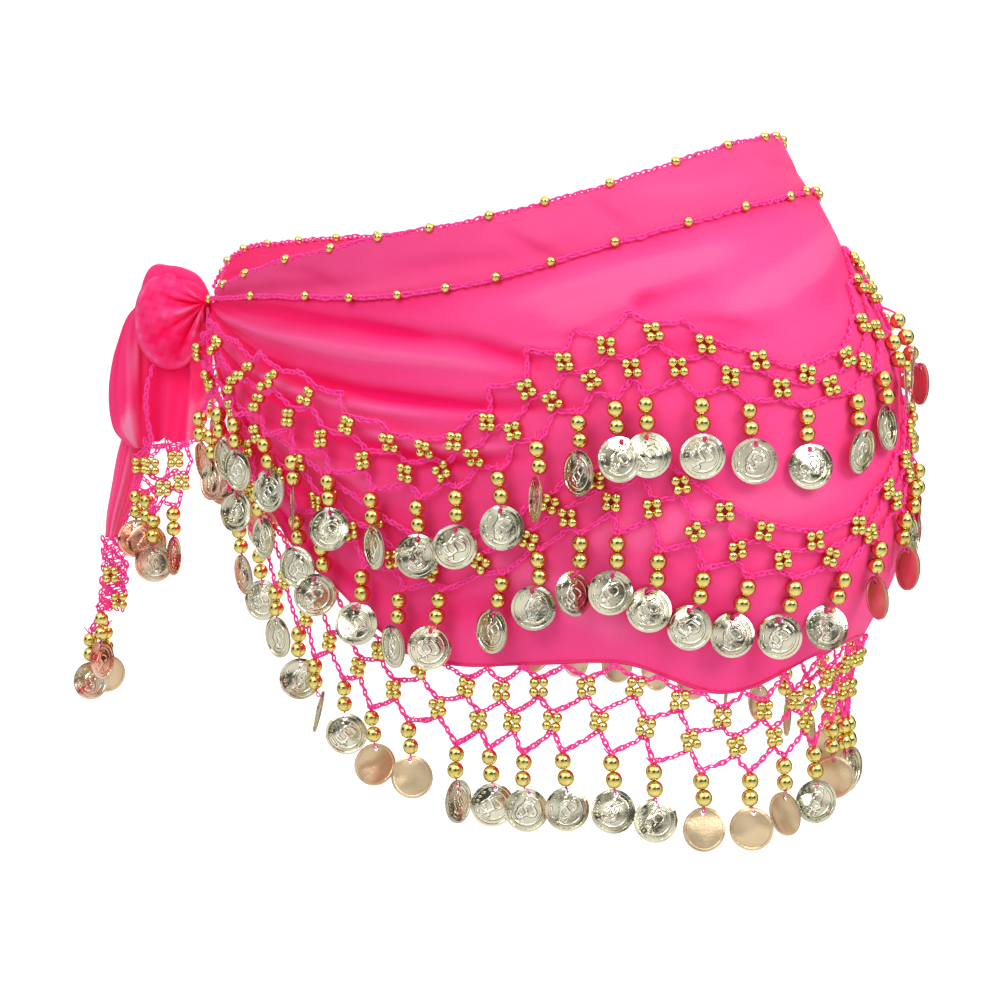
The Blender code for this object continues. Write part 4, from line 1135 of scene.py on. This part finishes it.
def knot_lump(around, polar):
    """The pinch is the pole toward the hips; folds deepen away from it and die out again."""
    folds = (0.9 * np.cos(5 * around + 0.7) + 0.8 * np.cos(8 * around + 2.1 - polar * 0.8)
             + 0.6 * np.cos(13 * around + 0.4 + polar * 1.1) + 0.4 * np.cos(21 * around + 1.4))
    strength = np.sin(polar) ** 0.8 * np.exp(-((polar - 0.85) / 0.75) ** 2)
    upward = np.exp(-((around - 1.75) / 0.75) ** 2)
    shoulder = 0.26 * upward * np.exp(-((polar - 2.25) / 0.42) ** 2)
    saddle = 0.07 * upward * np.exp(-((polar - 1.15) / 0.35) ** 2)
    tuck = 0.10 * np.exp(-((around - 0.95) / 0.20) ** 2) * np.exp(-((polar - 1.7) / 0.6) ** 2)
    push = folds * strength
    size = 1 + push * 0.075 + shoulder - saddle - tuck
    x = -np.cos(polar) * (1 + 0.4 * shoulder)
    y = np.sin(polar) * np.cos(around) * size
    z = np.sin(polar) * np.sin(around) * size
    points = knot_place(KNOT_MIDDLE[0] + KNOT_HALF[0] * x, KNOT_MIDDLE[1] + KNOT_HALF[1] * y,
                        KNOT_MIDDLE[2] + KNOT_HALF[2] * z)
    # painted shade and highlight: deeper in the fold troughs, at the pinch and in the tuck, paler on
    # the fold crests and the shoulder
    depth = 0.44 - push * 0.34 + 0.55 * np.exp(-(polar / 0.6) ** 2) + 5 * tuck - 0.8 * shoulder
    return points, np.clip(depth, -0.1, 1)


around = np.linspace(0, 2 * np.pi, KNOT_COLUMNS, endpoint=False)[:, None]
polar = np.linspace(POLE, np.pi - POLE, KNOT_ROWS)[None, :]
knot_points, depth_and_shading = knot_lump(around, polar)
knot = cloth_piece("knot_cloth", knot_points, KNOT_CHIFFON, depth_and_shading, closed=True)
mount(knot, "knot")

PETAL_OUTLINE = (
    # share round the petal, across and height of its free edge, from the top to the hips' side
    (0.0, 137, -19.5), (0.12, 145.5, -24), (0.25, 150.5, -34), (0.38, 150.8, -45),
    (0.52, 147, -54.5), (0.66, 139.5, -60), (0.78, 131, -59.5), (0.9, 125, -52), (1.0, 121.8, -42),
)
PETAL_FOLDS = (
    # share round the petal, width, lift, share of the reach that it runs
    (0.36, 0.040, 1.7, 0.62), (0.52, 0.035, -1.6, 0.78), (0.60, 0.030, 1.3, 0.55),
    (0.22, 0.045, -1.5, 0.60), (0.74, 0.040, -1.7, 0.85), (0.86, 0.035, 1.6, 0.9),
)
PETAL_COLUMNS = 110
PETAL_ROWS = 44
round_share = np.linspace(0, 1, PETAL_COLUMNS + 1)[:, None]
reach = np.linspace(0.02, 1, PETAL_ROWS + 1)[None, :]
edge = read(PETAL_OUTLINE, round_share[:, 0])
across = PINCH[0] + (edge[:, :1] - PINCH[0]) * reach
height = PINCH[2] + (edge[:, 1:] - PINCH[2]) * reach
fan = (0.9 * np.sin(round_share * 17 + 0.5) + 0.8 * np.sin(round_share * 31 + 1.9)
       + 0.6 * np.sin(round_share * 53 + 0.3 - reach * 2) + 0.3 * np.sin(round_share * 83 + 1.0))
fan *= np.clip(reach * 6, 0, 1) * np.exp(-((reach - 0.16) / 0.30) ** 2) * 1.25
for middle, width, lift, length in PETAL_FOLDS:
    ridge = np.exp(-((round_share + 0.05 * reach - middle) / (width * (0.5 + reach))) ** 2)
    fan = fan + lift * ridge * np.clip(reach * 5, 0, 1) * np.clip((length + 0.2 - reach) / 0.3, 0, 1)
belly = 5.6 * np.sin(np.pi * reach ** 1.25) ** 0.8
rim = np.exp(-((reach - 0.93) / 0.05) ** 2)
curl = 0.9 * rim - 3.6 * np.clip((reach - 0.93) / 0.07, 0, 1) ** 2
hidden = 11.0 * np.exp(-(round_share / 0.13) ** 2) * reach ** 1.5
crumple = (np.sin(across * 0.62 + height * 0.31 + 1.0) * np.sin(height * 0.74 - across * 0.27 + 0.5)
           + 0.6 * np.sin(across * 1.13 - height * 0.52 + 2.2) * np.sin(height * 1.31 + across * 0.66))
crumple *= np.clip(reach * 3 - 0.6, 0, 1) * np.clip((1 - reach) / 0.12, 0, 1)
along = knot_front(across, height) + belly + fan + curl - hidden + 0.55 * crumple
petal_points = knot_place(across, along, height)
# Painted shade and highlight: deeper at the pinch, inside the pouch and in the crumples' hollows, paler
# on the fan's raised folds and along the rim.
pouch_shade = np.exp(-((round_share - 0.62) / 0.2) ** 2 - ((reach - 0.62) / 0.22) ** 2)
petal_depth = (0.42 - 0.30 * fan + 0.55 * np.exp(-(reach / 0.20) ** 2)
               + 0.5 * pouch_shade - 0.60 * rim - 0.26 * crumple)
petal = cloth_piece("knot_petal_cloth", petal_points[::-1], KNOT_CHIFFON, petal_depth[::-1])
mount(petal, "knot_petal")


# ---------------------------------------------------------------- bow loop and tails
# A loop of cloth hangs at the outer side of the knot. The short end falls in soft folds, and
# the long end is drawn together into a narrow, twisted strip.

BOW_LOOP = (
    # height, middle across, middle along, radius
    (-34, 149.0, -57.5, 2.5), (-39, 151.5, -59, 4.4), (-47, 152.8, -59, 6.2),
    (-57, 153.4, -58, 7.8), (-69, 154.0, -57, 8.4), (-81, 154.4, -56, 7.6),
    (-88, 153.6, -55.6, 6.4), (-94, 151.5, -55, 2.8),
)
LONG_TAIL = (
    (-47, 138.5, -61.0, 3.0), (-61, 143.5, -66.9, 4.0), (-78, 149.5, -68.5, 5.2),
    (-96, 154.2, -67, 6.2), (-110, 157.5, -64, 5.6), (-122, 161, -62, 4.4), (-132, 163.5, -61, 2.8),
)
SHORT_TAIL = (
    # share of the drop, outer edge, inner edge, fold depth
    (0.0, 146, 120, 0.4), (0.25, 146.5, 119, 1.4), (0.5, 146.5, 120, 2.2),
    (0.75, 146, 121.5, 2.6), (1.0, 145.5, 123, 2.2),
)
SHORT_TAIL_TOP = -44.0
SHORT_TAIL_HEM = -91.0
SHORT_TAIL_ALONG = -43.0
SHORT_TAIL_COLUMNS = 90
SHORT_TAIL_ROWS = 60
CHANNEL_COLUMNS = 54
CHANNEL_ROWS = 64
CHANNEL_START = 200
CHANNEL_END = -20


def channel(rows, ripples, seed):
    """Cloth bent round into an open channel, with ripples that run its length."""
    chance = np.random.default_rng(seed)
    table = np.array(rows, float)[::-1]
    heights = np.linspace(table[-1, 0], table[0, 0], CHANNEL_ROWS)[None, :]
    middle_across, middle_along, radius = np.moveaxis(read(table, heights), -1, 0)
    angle = np.radians(np.linspace(CHANNEL_START, CHANNEL_END, CHANNEL_COLUMNS))[:, None]
    share = (heights - heights[0, 0]) / (heights[0, -1] - heights[0, 0])
    phase = chance.uniform(0, 6, 3)
    ripple = (np.cos(ripples * angle + phase[0] + share * 2.2)
              + 0.6 * np.cos(ripples * 1.7 * angle + phase[1] - share * 3.0)
              + 0.4 * np.cos(ripples * 2.9 * angle + phase[2] + share * 5.0))
    reach = radius * (1 + 0.10 * ripple * np.clip(share * 3, 0.3, 1))
    points = knot_place(middle_across - reach * np.cos(angle), middle_along + reach * np.sin(angle),
                        heights + angle * 0)
    return points, ripple, share


round_channel = np.linspace(0, 1, CHANNEL_COLUMNS)[:, None]
loop_points, ripple, share = channel(BOW_LOOP, 4, 5)

# The loop is paler on its front, where it lies single, and almost clear near its foot; its
# ripples carry painted shade and highlight.
pale = np.exp(-((round_channel - 0.58) / 0.20) ** 2 - ((share - 0.38) / 0.2) ** 2)
pane = np.exp(-((round_channel - 0.46 + 0.3 * (share - 0.85)) / 0.17) ** 2
              - ((share - 0.88) / 0.14) ** 2)
loop_depth = np.clip(0.28 - 0.14 * ripple - 0.50 * pale - 1.2 * pane, -0.85, 1)
bow_loop = cloth_piece("bow_loop_cloth", loop_points, KNOT_CHIFFON, loop_depth)
mount(bow_loop, "bow_loop")

# The long end is paler toward its foot, with its rolled edge as a deeper line; its ripples
# carry painted shade and highlight.
tail_points, ripple, share = channel(LONG_TAIL, 5, 8)
seam = np.exp(-((round_channel - 0.38) / 0.03) ** 2)
tail_depth = 0.16 - 0.14 * ripple - 0.45 * share + 0.35 * seam
long_tail = cloth_piece("long_tail_cloth", tail_points, KNOT_CHIFFON, tail_depth)
mount(long_tail, "long_tail")


def knot_underside(across):
    """Height of a line that runs just below the knot."""
    side = (across - KNOT_MIDDLE[0]) / (KNOT_HALF[0] + 0.4)
    return KNOT_MIDDLE[2] - (KNOT_HALF[2] + 0.4) * np.sqrt(np.clip(1 - side**2, 0, 1))


side = np.linspace(0, 1, SHORT_TAIL_COLUMNS)[:, None]
share = np.linspace(0, 1, SHORT_TAIL_ROWS)[None, :]
outer, inner, depth = np.moveaxis(read(SHORT_TAIL, share), -1, 0)
across = outer + (inner - outer) * side
top = np.minimum(knot_underside(across), SHORT_TAIL_TOP)
wave = depth * (0.9 * np.cos(2 * np.pi * 1.4 * side + 2.6)
                + 0.4 * np.cos(2 * np.pi * 2.7 * side + 1.8 * share))
small = 0.22 * depth * np.cos(2 * np.pi * (4.6 * side + 0.5 * share) + 1.0) * share
strip = np.clip((side - 0.66) / 0.05, 0, 1)
fold_edge = np.exp(-((side - 0.68) / 0.035) ** 2)
hem_sway = 1.3 * np.sin(side * 7.5 - 0.6) + 0.6 * np.sin(side * 23 + 1.0) + 2.2 * strip
height = top + (SHORT_TAIL_HEM - top) * share + hem_sway * share ** 2
short_points = knot_place(across, SHORT_TAIL_ALONG + wave + small + 1.1 * fold_edge, height)

# Painted shade makes it deep where it leaves the knot, under the petal, and in its waves'
# troughs, with a painted highlight along its fold edge. It is paler in the strip that lies
# single at its side and at its outer edge.
shade = np.exp(-(share / 0.28) ** 2)
sheer = strip * np.clip((share - 0.42) / 0.2, 0, 1)
outer_edge = np.exp(-(side / 0.05) ** 2)
short_depth = 0.70 - 0.08 * (wave + small) + 0.4 * shade * (1 - strip) - 0.50 * fold_edge
short_depth = short_depth - 0.40 * strip - 0.85 * sheer - 0.4 * outer_edge
short_tail = cloth_piece("short_tail_cloth", short_points, KNOT_CHIFFON, short_depth)
mount(short_tail, "short_tail")


# ---------------------------------------------------------------- trims of the two tails
# The nets run out along the scarf's ends: a tangled scrap of net with four pendants on the
# short end, and close crochet with three pendants on the long one.

SHORT_TAIL_PENDANTS = (
    # across, along, height of the root, degrees that the coin is turned away; None for a peak
    # of the cord with no pendant
    (152.0, -52.0, -110.5, 15), (147.0, -47.5, -112.0, 8), (143.8, -43.0, -120.0, 0),
    (140.2, -43.0, -115.6, None), (135.5, -43.0, -117.0, 76),
)
SHORT_TAIL_CLUSTERS = (
    # across and height of each cluster of the short end's net
    (144.5, -101), (134.5, -98), (139.5, -110), (149.0, -100.5), (132.0, -107.5),
)
SHORT_TAIL_CORDS = (
    # each cord of that net, as across and height at its turns
    ((147, -90.5), (144.5, -97), (140, -91.5), (134.5, -94), (130.5, -91), (128, -98), (130, -104)),
    ((151, -97), (144.5, -105), (139.5, -106.5), (134.5, -102.5), (131, -103.5)),
    ((149, -104.5), (145, -108), (142.5, -113), (143.8, -119)),
    ((139.5, -114.5), (136, -109.5), (132, -111.5), (133.5, -117)),
    ((145, -91), (149.5, -96), (150.5, -104), (152, -109.5)),
    ((138, -91), (136.5, -97), (138, -104), (141, -108), (147, -111.5)),
    ((146, -92), (141, -92.6), (136, -91.4), (131, -92), (126, -89.6), (122.5, -88.6)),
)
LOOP_CORD_FACE = 2.6
LOOP_CORD = ((143.5, -60), (145.5, -67), (146.3, -74), (145.4, -82), (143.6, -91))
LONG_TAIL_LACE = (
    # height, outer edge, inner edge
    (-132.6, 166.4, 160), (-142, 166.6, 158.2), (-151, 167, 158.2), (-160, 168.6, 159.6),
)
LACE_FOOT = -162.0
LACE_STRANDS = ((0.0, 0.12), (0.22, 0.26), (0.48, 0.30), (0.74, 0.26), (1.0, 0.12))
LACE_STEPS = 44
LACE_ALONG = -59.0
LACE_CLUSTERS = (
    # across, how far before the lace, height
    (163.7, 2.4, -147.5), (160.4, 2.0, -158.5),
)
RIB_TOP = (-112, 152.4)
RIB_FOOT = (-134, 160.5)
RIB_STEPS = 26
RIB_FACE = 1.4
LONG_TAIL_PENDANTS = (
    # across, along, height of the root, degrees that the coin is turned away
    (168, -58.3, -162.4, 60), (173.5, -64, -172, 35), (167.5, -69, -169.5, 200),
)
TAIL_FRONT = knot_place(0.0, 1.0, 0.0)
TAIL_FACE = SHORT_TAIL_ALONG + 0.9


def tail_pendant(root, turned, chance):
    """A pendant that hangs freely from a tail."""
    down = np.array((0, 0, -1.0))
    sway = chance.normal(0, 0.4, 3)
    out = TAIL_FRONT
    pose = (chance.normal(0, 0.06), chance.normal(0, 0.08), facing(out) + math.radians(turned))
    bead_one = root + down * FIRST_BEAD_DROP + out * sway[0]
    bead_two = root + down * SECOND_BEAD_DROP + out * sway[1]
    return root, out, bead_one, bead_two, root + down * COIN_DROP, pose


def four_beads(middle):
    """A cluster of four small beads that faces the front."""
    return [middle + knot_place(dx * CLUSTER_HALF, 0.0, dz * CLUSTER_HALF)
            for dx, dz in ((-1, -1), (-1, 1), (1, 1), (1, -1))]


def front_cord(path):
    """A cord that lies flat to the front."""
    return path, np.tile(TAIL_FRONT, (len(path), 1))


def slack_between(nodes, steps=CORD_STEPS, slack=0.5):
    """A cord through points that hangs a little between them."""
    nodes = np.array(nodes)
    share = np.linspace(0, 1, steps + 1)[:-1]
    path = nodes[:-1, None] + (nodes[1:, None] - nodes[:-1, None]) * share[None, :, None]
    path[..., 2] -= slack * np.sin(np.pi * share)
    return np.concatenate((path.reshape(-1, 3), nodes[-1:]))


chance = np.random.default_rng(77)
cords = []
for line in SHORT_TAIL_CORDS:
    cords.append(slack_between([knot_place(across, TAIL_FACE + chance.normal(0, 0.35), height)
                                for across, height in line]))
cords.append(slack_between([knot_place(across, TAIL_FACE + LOOP_CORD_FACE, height)
                            for across, height in LOOP_CORD]))
spots = []
for across, height in SHORT_TAIL_CLUSTERS:
    spots += four_beads(knot_place(across, TAIL_FACE + 0.8 + chance.normal(0, 0.2), height))
mount(chain("short_tail_net_cords", [front_cord(cord) for cord in cords], 31),
      "short_tail_net")
mount(beads("short_tail_net_beads", np.array(spots), np.full(len(spots), SMALL_BEAD)),
      "short_tail_net")


def tail_coins(name, rows, seed):
    """A tail's cord with the pendants that hang from it."""
    chance = np.random.default_rng(seed)
    nodes = [knot_place(across, along, height) for across, along, height, _ in rows]
    pendants = [tail_pendant(root, turned, chance) for root, (*_, turned) in zip(nodes, rows)
                if turned is not None]
    hang(name, pendants, front_cord(slack_between(nodes, 4, 0.3)), seed + 1)


tail_coins("short_tail_coins", SHORT_TAIL_PENDANTS, 41)

# Five winding strands make the lace, and one more runs up the tail's edge.
lace_heights = np.linspace(LONG_TAIL_LACE[0][0], LACE_FOOT, LACE_STEPS)
outer, inner = np.moveaxis(read(LONG_TAIL_LACE[::-1], lace_heights), -1, 0)
lace = []
for start, reach in LACE_STRANDS:
    place = start + reach * np.sin(lace_heights * 1.1 + start * 9)
    along = LACE_ALONG + 0.4 * np.sin(lace_heights * 0.9 + start * 5)
    lace.append(front_cord(knot_place(outer + (inner - outer) * place, along, lace_heights)))
rib_heights, rib = np.linspace(RIB_TOP, RIB_FOOT, RIB_STEPS).T
rib = rib + 0.5 * np.sin(rib_heights)
lace.append(front_cord(knot_place(rib, LACE_ALONG + RIB_FACE, rib_heights)))
mount(chain("long_tail_lace_cords", lace, 32), "long_tail_lace")
spots = []
for across, before, height in LACE_CLUSTERS:
    spots += four_beads(knot_place(across, LACE_ALONG + before, height))
mount(beads("long_tail_lace_beads", np.array(spots), np.full(len(spots), SMALL_BEAD)), None)
tail_coins("long_tail_coins", LONG_TAIL_PENDANTS, 43)


# ---------------------------------------------------------------- studio
# A white floor far below the hips and an even white room, with soft boxes for the gilding.

VIEW_ANGLE = 52
VIEW_RISE = 4
VIEW_DISTANCE = 1.150
LENS = 103.5
LOOK_AT = Vector((0, 0, -0.112))
FLOOR_BELOW = -0.85
SOFT_BOXES = (
    # name, degrees round from straight ahead, degrees up, distance, size, power
    ("left_box", 18, 42, 1.8, 1.0, 11), ("right_box", 98, 36, 1.8, 0.9, 16),
    ("back_box", 220, 35, 2.2, 1.0, 12),
)

bpy.ops.mesh.primitive_circle_add(vertices=96, radius=14, fill_type="NGON",
                                  location=(0, 0, FLOOR_BELOW))
floor = bpy.context.object
floor.name = "floor"
FLOOR_FINISH = Finish("white_floor", Base_Color=(0.9, 0.9, 0.9, 1), Roughness=0.9,
                      Emission_Color=(1, 1, 1, 1))
seen = FLOOR_FINISH.add("ShaderNodeLightPath", None, None, "Is Camera Ray")
FLOOR_FINISH.feed(Emission_Strength=seen * 0.85 + 0.08)
floor.data.materials.append(FLOOR_FINISH.material)

world = bpy.data.worlds.new("white_room")
world.use_nodes = True
bpy.context.scene.world = world
room = Nodes(world.node_tree)
sky = world.node_tree.nodes["Background"]
seen = room.add("ShaderNodeLightPath", None, None, "Is Camera Ray")
x, y, z = room.parts(room.add("ShaderNodeTexCoord", None, None, "Generated"))
glow = room.mix(z.ramp(-0.25, 0.75), (0.25, 0.25, 0.255), (0.62, 0.62, 0.63))

# Metal mirrors bright panels with dark gaps between them, all round at its own level.
compass = x.apply("ARCTAN2", y * -1.0)
panels = (compass * 5.0 + 1.2).apply("SINE") + (compass * 3.0 + 0.4).apply("SINE") * 0.6
level = 1 - z.apply("ABSOLUTE").ramp(0.32, 0.60)
mirrored = room.mix(level * (1 - panels.ramp(-0.1, 1.0) * 0.9), (1.12, 1.12, 1.10), (0.05, 0.05, 0.045))
shiny = room.add("ShaderNodeLightPath", None, None, "Is Glossy Ray")
glow = room.mix(shiny, glow, mirrored)
glow = room.mix(seen, glow, (1.2, 1.2, 1.2))
room.tree.links.new(glow.socket, sky.inputs["Color"])
sky.inputs["Strength"].default_value = 1.0


def set_up(thing, angle, rise, distance):
    """A light or the camera, round the scarf and facing it."""
    angle = math.radians(angle)
    rise = math.radians(rise)
    away = Vector((math.sin(angle) * math.cos(rise), -math.cos(angle) * math.cos(rise),
                   math.sin(rise)))
    thing.location = LOOK_AT + away * distance
    thing.rotation_mode = "QUATERNION"
    thing.rotation_quaternion = (-away).to_track_quat("-Z", "Y")
    bpy.context.scene.collection.objects.link(thing)


for name, angle, rise, distance, size, power in SOFT_BOXES:
    light = bpy.data.lights.new(name, "AREA")
    light.shape = "SQUARE"
    light.size = size
    light.energy = power
    set_up(bpy.data.objects.new(name, light), angle, rise, distance)

camera = bpy.data.objects.new("camera", bpy.data.cameras.new("camera"))
camera.data.lens = LENS
camera.data.sensor_width = 36
camera.data.clip_end = 60
set_up(camera, VIEW_ANGLE, VIEW_RISE, VIEW_DISTANCE)
bpy.context.scene.camera = camera
bpy.context.scene.view_settings.view_transform = "Standard"
